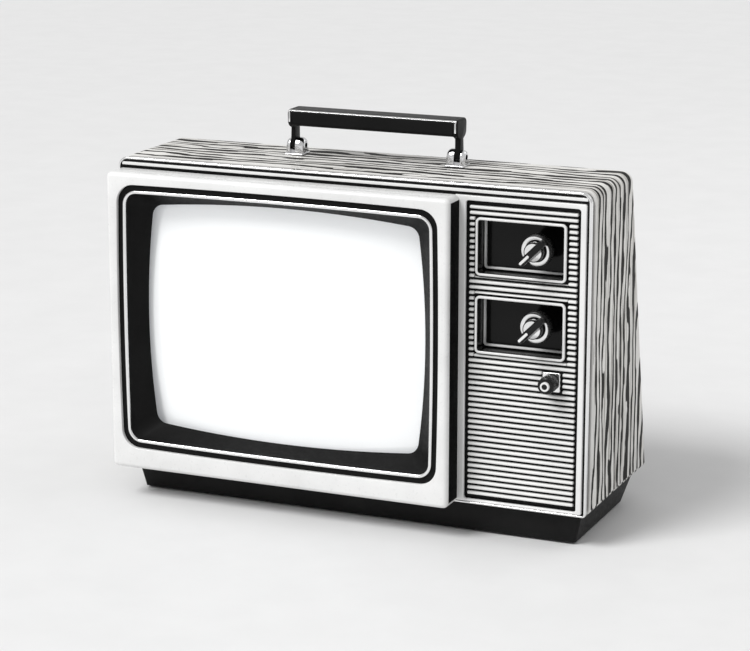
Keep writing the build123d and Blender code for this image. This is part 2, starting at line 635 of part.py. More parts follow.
def tuner_set(band, window_z, axis_z, tuner_depth):
    """Everything of one tuner: window, dial, two concentric knobs, shaft and tuner can."""
    # frame with a deep pocket behind it
    with BuildPart() as escutcheon:
        with BuildSketch(at_depth(GRILLE_FRONT)):
            with Locations((WINDOW_MID_X, window_z)):
                RectangleRounded(WINDOW_W, WINDOW_H, WINDOW_CORNER_R)
        extrude(amount=GRILLE_FRONT - WINDOW_FRONT)
        fillet(escutcheon.faces().sort_by(Axis.Y)[0].edges(), 0.9)
        with BuildSketch(at_depth(POCKET_REAR)):
            with Locations((WINDOW_MID_X, window_z)):
                RectangleRounded(WINDOW_W - 2.2, WINDOW_H - 2.2, WINDOW_CORNER_R - 1.1)
        extrude(amount=POCKET_REAR - GRILLE_FRONT)
        with BuildSketch(at_depth(POCKET_REAR)):
            with Locations((WINDOW_MID_X, window_z)):
                RectangleRounded(
                    WINDOW_W - 2 * WINDOW_LINE,
                    WINDOW_H - 2 * WINDOW_LINE,
                    WINDOW_CORNER_R - WINDOW_LINE,
                )
        extrude(amount=POCKET_REAR - WINDOW_FRONT, mode=Mode.SUBTRACT)
    save(escutcheon, f"{band}_escutcheon")

    # smoked plate at the bottom of the pocket
    with BuildPart() as window:
        with BuildSketch(at_depth(POCKET_REAR)):
            with Locations((WINDOW_MID_X, window_z)):
                RectangleRounded(
                    WINDOW_W - 2 * WINDOW_LINE,
                    WINDOW_H - 2 * WINDOW_LINE,
                    WINDOW_CORNER_R - WINDOW_LINE,
                )
            with Locations((KNOB_X, axis_z)):
                Circle(SLEEVE_R + RUN, mode=Mode.SUBTRACT)
        extrude(amount=POCKET_REAR - POCKET_FLOOR)
    save(window, f"{band}_window")

    # channel number dial on the channel shaft
    with BuildPart() as dial:
        with BuildSketch(at_depth(55.5)):
            with Locations((KNOB_X, axis_z)):
                Circle(24)
                Circle(SHAFT_R, mode=Mode.SUBTRACT)
        extrude(amount=1.6)
    save(dial, f"{band}_dial")

    # outer fine-tuning ring with its hub and sleeve
    with BuildPart() as fine_ring:
        extrude(disc(27.0, KNOB_X, axis_z, RING_R), amount=8.5)
        fillet(fine_ring.faces().sort_by(Axis.Y)[0].edges(), 1.2)
        extrude(disc(46.5, KNOB_X, axis_z, 9), amount=20)
        extrude(disc(52.5, KNOB_X, axis_z, SLEEVE_R), amount=8)
        extrude(disc(53.0, KNOB_X, axis_z, SHAFT_R + RUN), amount=40, mode=Mode.SUBTRACT)
    save(fine_ring, f"{band}_fine_ring")

    # inner channel knob: a disc with a diagonal grip bar across it
    with BuildPart() as channel_knob:
        extrude(disc(17.9, KNOB_X, axis_z, KNOB_R), amount=9)
        with BuildSketch(at_depth(10.5)):
            with Locations((KNOB_X, axis_z)):
                SlotOverall(37, 7, rotation=45)
        extrude(amount=7)
        fillet(channel_knob.faces().sort_by(Axis.Y)[0].edges(), 1.2)
        extrude(disc(18.5, KNOB_X, axis_z, SHAFT_R), amount=11.5, mode=Mode.SUBTRACT)
    save(channel_knob, f"{band}_channel_knob")

    # channel shaft from the knob into the tuner
    with BuildPart() as channel_shaft:
        extrude(disc(88, KNOB_X, axis_z, SHAFT_R), amount=81)
    save(channel_shaft, f"{band}_channel_shaft")

    # tuner can
    with BuildPart() as tuner:
        extrude(
            panel(BRACKET_REAR + tuner_depth, KNOB_X - 25, KNOB_X + 25, axis_z - 22, axis_z + 22, 2),
            amount=tuner_depth,
        )
        fillet(tuner.faces().sort_by(Axis.Y)[-1].edges(), 1.5)
        extrude(disc(90, KNOB_X, axis_z, SHAFT_R + RUN), amount=31, mode=Mode.SUBTRACT)
    save(tuner, f"{band}_tuner")


tuner_set("vhf", VHF_WINDOW_Z, VHF_Z, 62.0)
tuner_set("uhf", UHF_WINDOW_Z, UHF_Z, 50.0)

# ---------------------------------------------------------------- volume and power control

PLUNGER_SIDE = 8.0

# Small bright plate round the volume shaft.
with BuildPart() as volume_plate:
    with BuildSketch(at_depth(GRILLE_REAR)):
        with Locations((VOLUME_X, VOLUME_Z)):
            RectangleRounded(18.5, 20, 1.3)
            Circle(6.2, mode=Mode.SUBTRACT)
    extrude(amount=GRILLE_REAR - 28)
    fillet(volume_plate.faces().sort_by(Axis.Y)[0].outer_wire().edges(), 0.8)
save(volume_plate, "volume_plate")

# Volume control body with a square bore.
with BuildPart() as volume_control:
    extrude(disc(56, VOLUME_X, VOLUME_Z, 12), amount=56 - PLATE_REAR)
    with BuildSketch(at_depth(54)):
        with Locations((VOLUME_X, VOLUME_Z)):
            Rectangle(PLUNGER_SIDE + 2 * RUN, PLUNGER_SIDE + 2 * RUN)
    extrude(amount=54 - PLATE_REAR, mode=Mode.SUBTRACT)
save(volume_control, "volume_control")

# Square plunger of the power switch; it slides but doesn't turn.
with BuildPart() as volume_plunger:
    with BuildSketch(at_depth(52)):
        with Locations((VOLUME_X, VOLUME_Z)):
            Rectangle(PLUNGER_SIDE, PLUNGER_SIDE)
            Circle(SHAFT_R + RUN, mode=Mode.SUBTRACT)
    extrude(amount=22)
save(volume_plunger, "volume_plunger")

with BuildPart() as volume_shaft:
    extrude(disc(50, VOLUME_X, VOLUME_Z, SHAFT_R), amount=36)
save(volume_shaft, "volume_shaft")

with BuildPart() as volume_knob:
    extrude(disc(26.5, VOLUME_X, VOLUME_Z, 9), amount=16)
    fillet(volume_knob.faces().sort_by(Axis.Y)[0].edges(), 1.2)
    extrude(disc(26.5, VOLUME_X, VOLUME_Z, SHAFT_R), amount=12.5, mode=Mode.SUBTRACT)
save(volume_knob, "volume_knob")

# Bright nose on the volume knob.
with BuildPart() as volume_nose:
    extrude(disc(10.5, VOLUME_X, VOLUME_Z, 4.8), amount=3)
    fillet(volume_nose.faces().sort_by(Axis.Y)[0].edges(), 0.8)
save(volume_nose, "volume_nose")

# ---------------------------------------------------------------- speaker

# Speaker basket with its magnet.
with BuildPart() as speaker_frame:
    extrude(disc(38, SPEAKER_X, SPEAKER_Z, 51), amount=38 - PLATE_REAR)
    loft([disc(38, SPEAKER_X, SPEAKER_Z, 47), disc(62, SPEAKER_X, SPEAKER_Z, 26)])
    loft(
        [disc(PLATE_REAR, SPEAKER_X, SPEAKER_Z, 46.5), disc(60, SPEAKER_X, SPEAKER_Z, 24)],
        mode=Mode.SUBTRACT,
    )
    extrude(disc(80, SPEAKER_X, SPEAKER_Z, 29), amount=18)
save(speaker_frame, "speaker_frame")

# Paper cone with its dust cap.
with BuildPart() as speaker_cone:
    loft([disc(37, SPEAKER_X, SPEAKER_Z, 45), disc(58, SPEAKER_X, SPEAKER_Z, 14)])
    loft([disc(37, SPEAKER_X, SPEAKER_Z, 43.8), disc(57, SPEAKER_X, SPEAKER_Z, 12.8)], mode=Mode.SUBTRACT)
    extrude(disc(60, SPEAKER_X, SPEAKER_Z, 12), amount=3)
save(speaker_cone, "speaker_cone")

# ================================================================ handle

ARM_CENTRE = GRIP_HALF - ARM_THICK / 2
LOBE_IN = GRIP_HALF - ARM_THICK - ARM_GAP
LOBE_OUT = GRIP_HALF + ARM_GAP

# Grip bar between the two arms.
with BuildPart() as handle_grip:
    with BuildSketch(Plane.YZ.offset(HANDLE_X)):
        with Locations((y_at(HANDLE_DEPTH), (GRIP_LOW + GRIP_HIGH) / 2)):
            RectangleRounded(GRIP_DEPTH, GRIP_HIGH - GRIP_LOW, 5.5)
    extrude(amount=GRIP_HALF - ARM_THICK, both=True)
save(handle_grip, "handle_grip")

# Two flat arms: an eye at the pivot, a narrow shank and a head as large as the grip.
with BuildPart() as handle_arms:
    for side in (-1, 1):
        with BuildSketch(Plane.YZ.offset(HANDLE_X + side * ARM_CENTRE)):
            with Locations((y_at(HANDLE_DEPTH), PIVOT_Z)):
                Circle(6)
            with Locations((y_at(HANDLE_DEPTH), (PIVOT_Z + GRIP_LOW + 4) / 2)):
                Rectangle(12, GRIP_LOW + 4 - PIVOT_Z)
            with Locations((y_at(HANDLE_DEPTH), (GRIP_LOW + GRIP_HIGH) / 2)):
                RectangleRounded(GRIP_DEPTH, GRIP_HIGH - GRIP_LOW, 5.5)
            with Locations((y_at(HANDLE_DEPTH), PIVOT_Z)):
                Circle(PIN_R + RUN, mode=Mode.SUBTRACT)
        extrude(amount=ARM_THICK / 2, both=True)
save(handle_arms, "handle_arms")

# Two dome-topped brackets, each with a thick inner and a thin outer ear.
with BuildPart() as handle_brackets:
    for side in (-1, 1):
        foot_mid = HANDLE_X + side * (LOBE_IN - INNER_LOBE + LOBE_OUT + OUTER_LOBE) / 2
        foot_width = LOBE_OUT + OUTER_LOBE - LOBE_IN + INNER_LOBE
        with BuildSketch(Plane.XY.offset(CABINET_TOP)):
            with Locations((foot_mid, y_at(HANDLE_DEPTH))):
                RectangleRounded(foot_width, BRACKET_FOOT_DEPTH, 2.4)
        extrude(amount=2)
        for start, thick, radius in ((LOBE_IN - INNER_LOBE, INNER_LOBE, 8.6), (LOBE_OUT, OUTER_LOBE, 7.2)):
            with BuildSketch(Plane.YZ.offset(HANDLE_X + side * (start + thick / 2))):
                with Locations((y_at(HANDLE_DEPTH), PIVOT_Z)):
                    Circle(radius)
                with Locations((y_at(HANDLE_DEPTH), (PIVOT_Z + CABINET_TOP) / 2)):
                    Rectangle(2 * radius, PIVOT_Z - CABINET_TOP)
                with Locations((y_at(HANDLE_DEPTH), PIVOT_Z)):
                    Circle(PIN_R, mode=Mode.SUBTRACT)
            extrude(amount=thick / 2, both=True)
    with BuildSketch(Plane.XY.offset(CABINET_TOP)):
        with Locations(*bracket_screw_points):
            Circle(2)
    extrude(amount=5, mode=Mode.SUBTRACT)
save(handle_brackets, "handle_brackets")

# One pivot pin in each bracket, flush with the ears.
with BuildPart() as pivot_pins:
    for side in (-1, 1):
        pin_mid = HANDLE_X + side * (LOBE_IN - INNER_LOBE + LOBE_OUT + OUTER_LOBE) / 2
        with BuildSketch(Plane.YZ.offset(pin_mid)):
            with Locations((y_at(HANDLE_DEPTH), PIVOT_Z)):
                Circle(PIN_R)
        extrude(amount=(LOBE_OUT + OUTER_LOBE - LOBE_IN + INNER_LOBE) / 2, both=True)
save(pivot_pins, "pivot_pins")

# Screws from inside the cabinet up into the brackets.
with BuildPart() as bracket_screws:
    with BuildSketch(Plane.XY.offset(CABINET_TOP - WALL - 2.5)):
        with Locations(*bracket_screw_points):
            Circle(3.8)
    extrude(amount=2.5)
    with BuildSketch(Plane.XY.offset(CABINET_TOP - WALL)):
        with Locations(*bracket_screw_points):
            Circle(2)
    extrude(amount=WALL + 4.5)
save(bracket_screws, "bracket_screws")

# ================================================================ rear


def cover_rim(inset):
    """Outline of the rear cover where it meets the cabinet's slanted edge."""
    with BuildSketch(REAR_PLANE) as rim:
        RectangleRounded(WIDTH - 2 * inset, REAR_LENGTH - 2 * inset, TOP_EDGE_RADIUS - inset)
    return rim.sketch


def square_section(depth, x, z, width, height, radius):
    """Rounded rectangle round a centre."""
    return panel(depth, x - width / 2, x + width / 2, z - height / 2, z + height / 2, radius)


# Moulded rear cover: sloped sides and a flat back with vents and a hole for the neck cup.
with BuildPart() as back_cover:
    loft([cover_rim(0.5), square_section(COVER_FLAT, 0, COVER_MID_Z, COVER_W, COVER_H, 20)], ruled=True)
    loft(
        [
            cover_rim(0.5 + COVER_WALL),
            square_section(COVER_FLAT - COVER_WALL, 0, COVER_MID_Z, COVER_W - 5, COVER_H - 5, 18),
        ],
        ruled=True,
        mode=Mode.SUBTRACT,
    )
    extrude(
        square_section(COVER_FLAT, TUBE_X, TUBE_Z, CUP_ROOT - 6, CUP_ROOT - 6, 37),
        amount=COVER_WALL,
        mode=Mode.SUBTRACT,
    )
    with BuildSketch(REAR_PLANE):
        with Locations(*COVER_CORNERS):
            Circle(COVER_PAD_R)
    extrude(amount=5)
    with BuildSketch(REAR_PLANE):
        with Locations(*COVER_CORNERS):
            Circle(COVER_SCREW_R)
    extrude(amount=5, mode=Mode.SUBTRACT)
    with BuildSketch(REAR_PLANE.offset(5)):
        with Locations(*COVER_CORNERS):
            Circle(4.8)
    extrude(amount=20, mode=Mode.SUBTRACT)
    with BuildSketch(at_depth(COVER_FLAT)):
        with Locations((120, 215)):
            with GridLocations(80, 11, 2, 14):
                SlotOverall(64, 4)
        with Locations(*[(x, REAR_KNOB_Z) for x in REAR_KNOB_XS.values()]):
            Circle(4.5)
        with Locations((INLET_X, REAR_KNOB_Z)):
            RectangleRounded(30, 18, 2)
    extrude(amount=COVER_WALL, mode=Mode.SUBTRACT)
save(back_cover, "back_cover")

# Cup over the tube neck: a flange on the cover and a tapered box.
with BuildPart() as neck_cup:
    extrude(
        square_section(COVER_FLAT + CUP_FLANGE, TUBE_X, TUBE_Z, CUP_ROOT + 12, CUP_ROOT + 12, 44),
        amount=CUP_FLANGE,
    )
    loft(
        [
            square_section(COVER_FLAT, TUBE_X, TUBE_Z, CUP_ROOT, CUP_ROOT, 40),
            square_section(OVERALL_DEPTH, TUBE_X, TUBE_Z, CUP_END, CUP_END, 40),
        ]
    )
    fillet(neck_cup.faces().sort_by(Axis.Y)[-1].edges(), 3)
    loft(
        [
            square_section(COVER_FLAT, TUBE_X, TUBE_Z, CUP_ROOT - 5, CUP_ROOT - 5, 38),
            square_section(OVERALL_DEPTH - COVER_WALL, TUBE_X, TUBE_Z, CUP_END - 5, CUP_END - 5, 38),
        ],
        mode=Mode.SUBTRACT,
    )
save(neck_cup, "neck_cup")

with BuildPart() as cover_screws:
    with BuildSketch(REAR_PLANE.offset(5)):
        with Locations(*COVER_CORNERS):
            Circle(4)
    extrude(amount=2.4)
    with BuildSketch(REAR_PLANE.offset(5)):
        with Locations(*COVER_CORNERS):
            Circle(COVER_SCREW_R)
    extrude(amount=-19)
save(cover_screws, "cover_screws")

# Power inlet: recessed socket with two pins, set in the rear cover.
with BuildPart() as power_inlet:
    extrude(square_section(COVER_FLAT + 1.5, INLET_X, REAR_KNOB_Z, 36, 24, 3), amount=1.5)
    extrude(square_section(COVER_FLAT, INLET_X, REAR_KNOB_Z, 30, 18, 2), amount=16)
    extrude(
        square_section(COVER_FLAT + 1.5, INLET_X, REAR_KNOB_Z, 25, 13, 2), amount=14, mode=Mode.SUBTRACT
    )
    with BuildSketch(at_depth(COVER_FLAT - 1)):
        with Locations((INLET_X, REAR_KNOB_Z)):
            with GridLocations(11, 0, 2, 1):
                Circle(1.6)
    extrude(amount=12.5)
save(power_inlet, "power_inlet")

# Antenna terminal strip with four screw posts.
with BuildPart() as antenna_terminals:
    extrude(square_section(COVER_FLAT + 3, 160, 313, 84, 18, 3), amount=3)
    with BuildSketch(at_depth(COVER_FLAT + 6.5)):
        with Locations((160, 313)):
            with GridLocations(18, 0, 4, 1):
                Circle(3.6)
    extrude(amount=4)
save(antenna_terminals, "antenna_terminals")

# Two control bodies behind the cover.
with BuildPart() as rear_pots:
    with BuildSketch(at_depth(COVER_FLAT - COVER_WALL)):
        for knob_x in REAR_KNOB_XS.values():
            with Locations((knob_x, REAR_KNOB_Z)):
                Rectangle(18, 18)
                Circle(SHAFT_R + RUN, mode=Mode.SUBTRACT)
    extrude(amount=11)
save(rear_pots, "rear_pots")


def rear_knob(name, x):
    """Rear control knob with its stub shaft."""
    with BuildPart() as knob:
        extrude(disc(COVER_FLAT + 12, x, REAR_KNOB_Z, 8), amount=11)
        fillet(knob.faces().sort_by(Axis.Y)[-1].edges(), 1)
        extrude(disc(COVER_FLAT + 2, x, REAR_KNOB_Z, SHAFT_R), amount=14)
    save(knob, name)


for knob_name, knob_x in REAR_KNOB_XS.items():
    rear_knob(knob_name, knob_x)
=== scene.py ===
import json
import math

import bmesh
import bpy
from mathutils import Matrix, Vector


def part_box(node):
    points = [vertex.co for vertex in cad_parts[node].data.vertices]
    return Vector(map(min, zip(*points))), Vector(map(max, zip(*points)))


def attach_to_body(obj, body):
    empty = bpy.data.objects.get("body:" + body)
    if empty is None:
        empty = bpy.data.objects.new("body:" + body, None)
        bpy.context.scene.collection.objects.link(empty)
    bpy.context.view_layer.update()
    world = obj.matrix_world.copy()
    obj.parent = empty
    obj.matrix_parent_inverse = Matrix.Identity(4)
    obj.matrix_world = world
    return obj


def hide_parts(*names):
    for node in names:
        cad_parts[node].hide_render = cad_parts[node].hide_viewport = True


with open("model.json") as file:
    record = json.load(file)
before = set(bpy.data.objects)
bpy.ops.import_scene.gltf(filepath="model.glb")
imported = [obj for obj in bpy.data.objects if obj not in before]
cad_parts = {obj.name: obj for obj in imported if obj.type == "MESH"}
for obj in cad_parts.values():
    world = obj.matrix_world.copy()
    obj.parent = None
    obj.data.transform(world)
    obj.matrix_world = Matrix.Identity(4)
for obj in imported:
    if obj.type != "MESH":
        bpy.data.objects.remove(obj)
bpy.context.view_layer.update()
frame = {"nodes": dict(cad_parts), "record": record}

MM = 0.001
SIDE_STEPS = 14
CORNER_STEPS = 10
ROUND_STEPS = 72
STEPS_PER_FLUTE = 6
SMALLEST_CORNER = 0.3 * MM
SHARP = math.radians(38)
SHARP_CAD = math.radians(30)

# ---------------------------------------------------------------- camera
CAMERA_AZIMUTH = math.radians(23.3)
CAMERA_ELEVATION = math.radians(13.97)
CAMERA_DISTANCE = 2.667
CAMERA_LENS = 121.4

bezel_lo, bezel_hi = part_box("screen_bezel")
shell_lo, shell_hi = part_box("cabinet_shell")
cover_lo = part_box("back_cover")[0]

# Openings round the tube's axis, each (width, height), and the bow of their sides.
GROOVE = (368 * MM, 291.8 * MM)
RING_OUTSIDE = (355.9 * MM, 279.4 * MM)
RING_INSIDE = (348.9 * MM, 272.3 * MM)
SCREEN_OPENING = (320 * MM, 255 * MM)
SLIGHT_BOW = 1.5 * MM
SCREEN_BOW = 7 * MM
RING_CORNER = 16 * MM

# Corner radii of the cabinet: top right, top left, low left, low right.
CABINET_RADII = (11 * MM, 11 * MM, 4 * MM, 4 * MM)
REAR_SLOPE = (shell_hi.y - cover_lo.y) / (shell_hi.z - shell_lo.z)

aim = Vector((12.3 * MM, bezel_lo.y + 75.7 * MM, 202.2 * MM))
away = Vector(
    (
        math.sin(CAMERA_AZIMUTH) * math.cos(CAMERA_ELEVATION),
        -math.cos(CAMERA_AZIMUTH) * math.cos(CAMERA_ELEVATION),
        math.sin(CAMERA_ELEVATION),
    )
)
camera_data = bpy.data.cameras.new("camera")
camera_data.lens = CAMERA_LENS
camera_data.sensor_width = 36.0
camera = bpy.data.objects.new("camera", camera_data)
camera.location = aim + away * CAMERA_DISTANCE
camera.rotation_mode = "QUATERNION"
camera.rotation_quaternion = (-away).to_track_quat("-Z", "Y")
bpy.context.scene.collection.objects.link(camera)
bpy.context.scene.camera = camera


# ---------------------------------------------------------------- materials
def new_material(name):
    """Empty node material with its Principled shader."""
    material = bpy.data.materials.new(name)
    material.use_nodes = True
    return material, material.node_tree, material.node_tree.nodes["Principled BSDF"]


def add(tree, kind, **inputs):
    """Node of a kind with some of its input sockets set."""
    node = tree.nodes.new(kind)
    for key, value in inputs.items():
        node.inputs[key.replace("_", " ")].default_value = value
    return node


def ramp(tree, source, *stops):
    """Colour ramp on a value; each stop is (position, grey or colour)."""
    node = tree.nodes.new("ShaderNodeValToRGB")
    while len(node.color_ramp.elements) < len(stops):
        node.color_ramp.elements.new(0.5)
    for element, (position, colour) in zip(node.color_ramp.elements, stops):
        element.position = position
        element.color = (colour, colour, colour, 1) if isinstance(colour, float) else (*colour, 1)
    tree.links.new(source, node.inputs[0])
    return node.outputs[0]


def place(tree, scale, source="Object"):
    """Texture coordinates in metres, stretched by a scale."""
    where = tree.nodes.new("ShaderNodeTexCoord")
    mapping = add(tree, "ShaderNodeMapping", Scale=scale)
    tree.links.new(where.outputs[source], mapping.inputs["Vector"])
    return mapping.outputs[0]


def noise(tree, vector, scale, detail=4.0, roughness=0.55):
    """Noise value."""
    node = add(tree, "ShaderNodeTexNoise", Scale=scale, Detail=detail, Roughness=roughness)
    tree.links.new(vector, node.inputs["Vector"])
    return node.outputs["Fac"]


def bump(tree, shader, height, strength, distance):
    """Bump from a height on the shader's normal."""
    node = add(tree, "ShaderNodeBump", Strength=strength, Distance=distance)
    tree.links.new(height, node.inputs["Height"])
    tree.links.new(node.outputs[0], shader.inputs["Normal"])


def surface(
    name,
    dark,
    light,
    rough,
    grain,
    height,
    metallic=0.0,
    coat=0.0,
    stretch=(1, 1, 1),
    strength=0.3,
    gloss=0.5,
):
    """Finish with two near tones by a broad noise, roughness by a medium one and bump by a fine grain."""
    material, tree, shader = new_material(name)
    shader.inputs["Metallic"].default_value = metallic
    shader.inputs["Coat Weight"].default_value = coat
    shader.inputs["Coat Roughness"].default_value = 0.08
    shader.inputs["Specular IOR Level"].default_value = gloss
    broad = noise(tree, place(tree, (1, 1, 1)), 14.0)
    tree.links.new(ramp(tree, broad, (0.35, dark), (0.68, light)), shader.inputs["Base Color"])
    medium = noise(tree, place(tree, stretch), grain * 0.12, 5.0, 0.6)
    low, high = rough
    tree.links.new(ramp(tree, medium, (0.3, low), (0.72, high)), shader.inputs["Roughness"])
    bump(tree, shader, noise(tree, place(tree, stretch), grain, 3.0), strength, height)
    return material


def blend(tree, factor, low, high):
    """Colour between two others; each is a colour or an output."""
    node = tree.nodes.new("ShaderNodeMix")
    node.data_type = "RGBA"
    colours = [socket for socket in node.inputs if socket.type == "RGBA"]
    for socket, value in zip(colours, (low, high)):
        if isinstance(value, tuple):
            socket.default_value = value
        else:
            tree.links.new(value, socket)
    tree.links.new(factor, node.inputs["Factor"])
    return next(socket for socket in node.outputs if socket.type == "RGBA")


def mathematics(tree, operation, first, second, third=None):
    """Maths node on outputs and numbers."""
    node = tree.nodes.new("ShaderNodeMath")
    node.operation = operation
    for socket, value in zip(node.inputs, (first, second, third)):
        if isinstance(value, float):
            socket.default_value = value
        elif value is not None:
            tree.links.new(value, socket)
    return node.outputs[0]


def wood_material():
    """Limed veneer: pale ground, broad near-black grain along the cabinet's girth, fine pores."""
    material, tree, shader = new_material("limed_wood")

    def grain_noise(along, across, detail, roughness=0.55):
        return noise(tree, place(tree, (along, across, 1.0), "UV"), 1.0, detail, roughness)

    wave = add(tree, "ShaderNodeTexWave", Scale=23.0, Distortion=9.0, Detail=3.0, Detail_Scale=1.3)
    wave.inputs["Detail Roughness"].default_value = 0.55
    wave.bands_direction = "Y"
    tree.links.new(place(tree, (0.24, 1.0, 1.0), "UV"), wave.inputs["Vector"])
    swell = grain_noise(5.0, 45.0, 2.0)
    streak = grain_noise(22.0, 620.0, 4.0, 0.65)
    line = mathematics(tree, "MULTIPLY_ADD", swell, 0.75, wave.outputs["Fac"])
    line = mathematics(tree, "MULTIPLY_ADD", streak, 0.42, line)
    bold = ramp(tree, line, (0.98, 0.0), (1.07, 1.0))
    pores = ramp(tree, grain_noise(34.0, 1700.0, 3.0), (0.33, 0.35), (0.43, 1.0))
    fine = ramp(tree, grain_noise(4.0, 210.0, 5.0, 0.6), (0.36, 0.0), (0.50, 1.0))
    pale = mathematics(tree, "MULTIPLY", fine, pores)
    ground = blend(tree, pale, (0.30, 0.285, 0.26, 1), (0.80, 0.79, 0.765, 1))
    colour = blend(tree, bold, (0.010, 0.009, 0.008, 1), ground)
    tree.links.new(colour, shader.inputs["Base Color"])
    tree.links.new(ramp(tree, bold, (0.0, 0.66), (1.0, 0.44)), shader.inputs["Roughness"])
    shader.inputs["Specular IOR Level"].default_value = 0.2
    bump(tree, shader, mathematics(tree, "MULTIPLY", bold, pores), 0.4, 0.0003)
    return material


def glowing_screen_material():
    """Pale phosphor behind polished glass, evenly light, with a faint cloudiness; a weak emission makes the
    switched-off screen glow as painted light.
    """
    material, tree, shader = new_material("phosphor_glass_painted_glow")
    cloud = noise(tree, place(tree, (1, 1, 1)), 5.0, 2.0)
    tone = ramp(tree, cloud, (0.3, (0.80, 0.81, 0.81)), (0.7, (0.86, 0.87, 0.87)))
    polish = ramp(tree, noise(tree, place(tree, (1, 1, 1)), 60.0), (0.3, 0.10), (0.7, 0.17))
    tree.links.new(tone, shader.inputs["Base Color"])
    tree.links.new(polish, shader.inputs["Roughness"])
    shader.inputs["Coat Weight"].default_value = 0.6
    shader.inputs["Coat Roughness"].default_value = 0.03
    # Painted light: the screen is not switched on, yet this emission makes it glow.
    shader.inputs["Emission Color"].default_value = (0.93, 0.96, 1.0, 1)
    shader.inputs["Emission Strength"].default_value = 0.22
    bump(tree, shader, noise(tree, place(tree, (1, 1, 1)), 420.0), 0.02, 0.0001)
    return material


# Each pair holds the darker and the lighter tone of a finish.
WHITE = ((0.70, 0.70, 0.695), (0.80, 0.80, 0.795))
RIB_WHITE = ((0.70, 0.70, 0.69), (0.82, 0.82, 0.81))
BAND_WHITE = ((0.60, 0.59, 0.57), (0.74, 0.73, 0.71))
DIAL_WHITE = ((0.70, 0.70, 0.68), (0.8, 0.8, 0.78))
BLACK = ((0.003, 0.003, 0.003), (0.008, 0.008, 0.008))
MASK_BLACK = ((0.003, 0.003, 0.003), (0.006, 0.006, 0.006))
SMOKE_BLACK = ((0.002, 0.002, 0.002), (0.004, 0.004, 0.004))
COVER_BLACK = ((0.009, 0.009, 0.009), (0.017, 0.017, 0.017))
RUBBER_BLACK = ((0.012, 0.012, 0.012), (0.022, 0.022, 0.022))
TRIM_METAL = ((0.78, 0.78, 0.78), (0.88, 0.88, 0.88))
CHROME_METAL = ((0.74, 0.74, 0.75), (0.86, 0.86, 0.87))
ZINC_METAL = ((0.5, 0.5, 0.48), (0.66, 0.66, 0.63))
COPPER_METAL = ((0.42, 0.14, 0.05), (0.62, 0.27, 0.12))
FERRITE_GREY = ((0.05, 0.05, 0.05), (0.1, 0.1, 0.1))
BOARD_BROWN = ((0.2, 0.1, 0.04), (0.33, 0.18, 0.08))
MOULDED_GREY = ((0.04, 0.04, 0.045), (0.09, 0.09, 0.1))
PAPER_GREY = ((0.03, 0.027, 0.024), (0.07, 0.062, 0.054))
ALONG_X = (0.2, 1, 1)
ALONG_Y = (1, 0.08, 1)
WOUND_ALONG_Y = (1, 0.05, 1)

WOOD = wood_material()
SCREEN = glowing_screen_material()
LIGHT = surface("light_plastic", *WHITE, (0.24, 0.40), 2600, 0.00006, coat=0.25)
EDGE_BAND = surface("edge_band", *BAND_WHITE, (0.35, 0.5), 1800, 0.00008)
RIBS = surface("light_ribs", *RIB_WHITE, (0.26, 0.42), 2200, 0.00006, stretch=ALONG_X)
BRIGHT = surface("bright_trim", *TRIM_METAL, (0.08, 0.2), 1400, 0.00003, 1.0, strength=0.15)
CHROME = surface("chrome", *CHROME_METAL, (0.05, 0.16), 900, 0.00003, 1.0, strength=0.12)
BLACK_MATT = surface("black_texture", *BLACK, (0.38, 0.55), 2400, 0.00012, strength=0.45, gloss=0.14)
BLACK_GLOSS = surface("black_gloss", *BLACK, (0.16, 0.28), 1500, 0.00003, strength=0.12, gloss=0.24)
BLACK_DEEP = surface("mask_black", *MASK_BLACK, (0.5, 0.65), 2000, 0.00008, gloss=0.12)
SMOKED = surface("smoked_window", *SMOKE_BLACK, (0.10, 0.18), 700, 0.00002, gloss=0.16)
DIAL = surface("dial_white", *DIAL_WHITE, (0.4, 0.6), 1500, 0.00004)
RUBBER = surface("rubber", *RUBBER_BLACK, (0.7, 0.9), 1200, 0.0002, strength=0.5)
COVER = surface("cover_black", *COVER_BLACK, (0.42, 0.6), 1500, 0.0002, strength=0.6, gloss=0.25)
GRIP = surface("grip_black", *BLACK, (0.3, 0.42), 1900, 0.00008, strength=0.4, gloss=0.1)
STEEL = surface("zinc_steel", *ZINC_METAL, (0.22, 0.45), 1600, 0.00005, 1.0, stretch=ALONG_Y)
COPPER = surface(
    "copper_wire", *COPPER_METAL, (0.22, 0.4), 1800, 0.0003, 1.0, stretch=WOUND_ALONG_Y, strength=0.8
)
FERRITE = surface("ferrite", *FERRITE_GREY, (0.5, 0.75), 1200, 0.0001)
BOARD = surface("phenolic_board", *BOARD_BROWN, (0.35, 0.55), 900, 0.00006)
MOULDED = surface("moulded_dark", *MOULDED_GREY, (0.35, 0.6), 900, 0.0001)
PAPER = surface("speaker_paper", *PAPER_GREY, (0.75, 0.95), 1300, 0.0003, strength=0.7)

SLOT_LOOKS = {
    "wood_grain": WOOD,
    "bright_trim": BRIGHT,
    "light_plastic": LIGHT,
    "light_ribs": RIBS,
    "black_plastic": BLACK_MATT,
    "black_gloss": BLACK_GLOSS,
    "smoked_window": SMOKED,
    "dial_white": DIAL,
    "rubber_black": RUBBER,
    "tube_glass": SCREEN,
    "cover_black": COVER,
    "zinc_steel": STEEL,
    "bracket_chrome": CHROME,
    "copper_winding": COPPER,
    "ferrite": FERRITE,
    "board_brown": BOARD,
    "component_dark": MOULDED,
    "speaker_paper": PAPER,
}
NODE_SLOTS = {row["node"]: row["material_slot"] for row in frame["record"]["subparts"]}
NODE_BODIES = {
    node: body for body, members in frame["record"]["behaviour"]["bodies"].items() for node in members
}


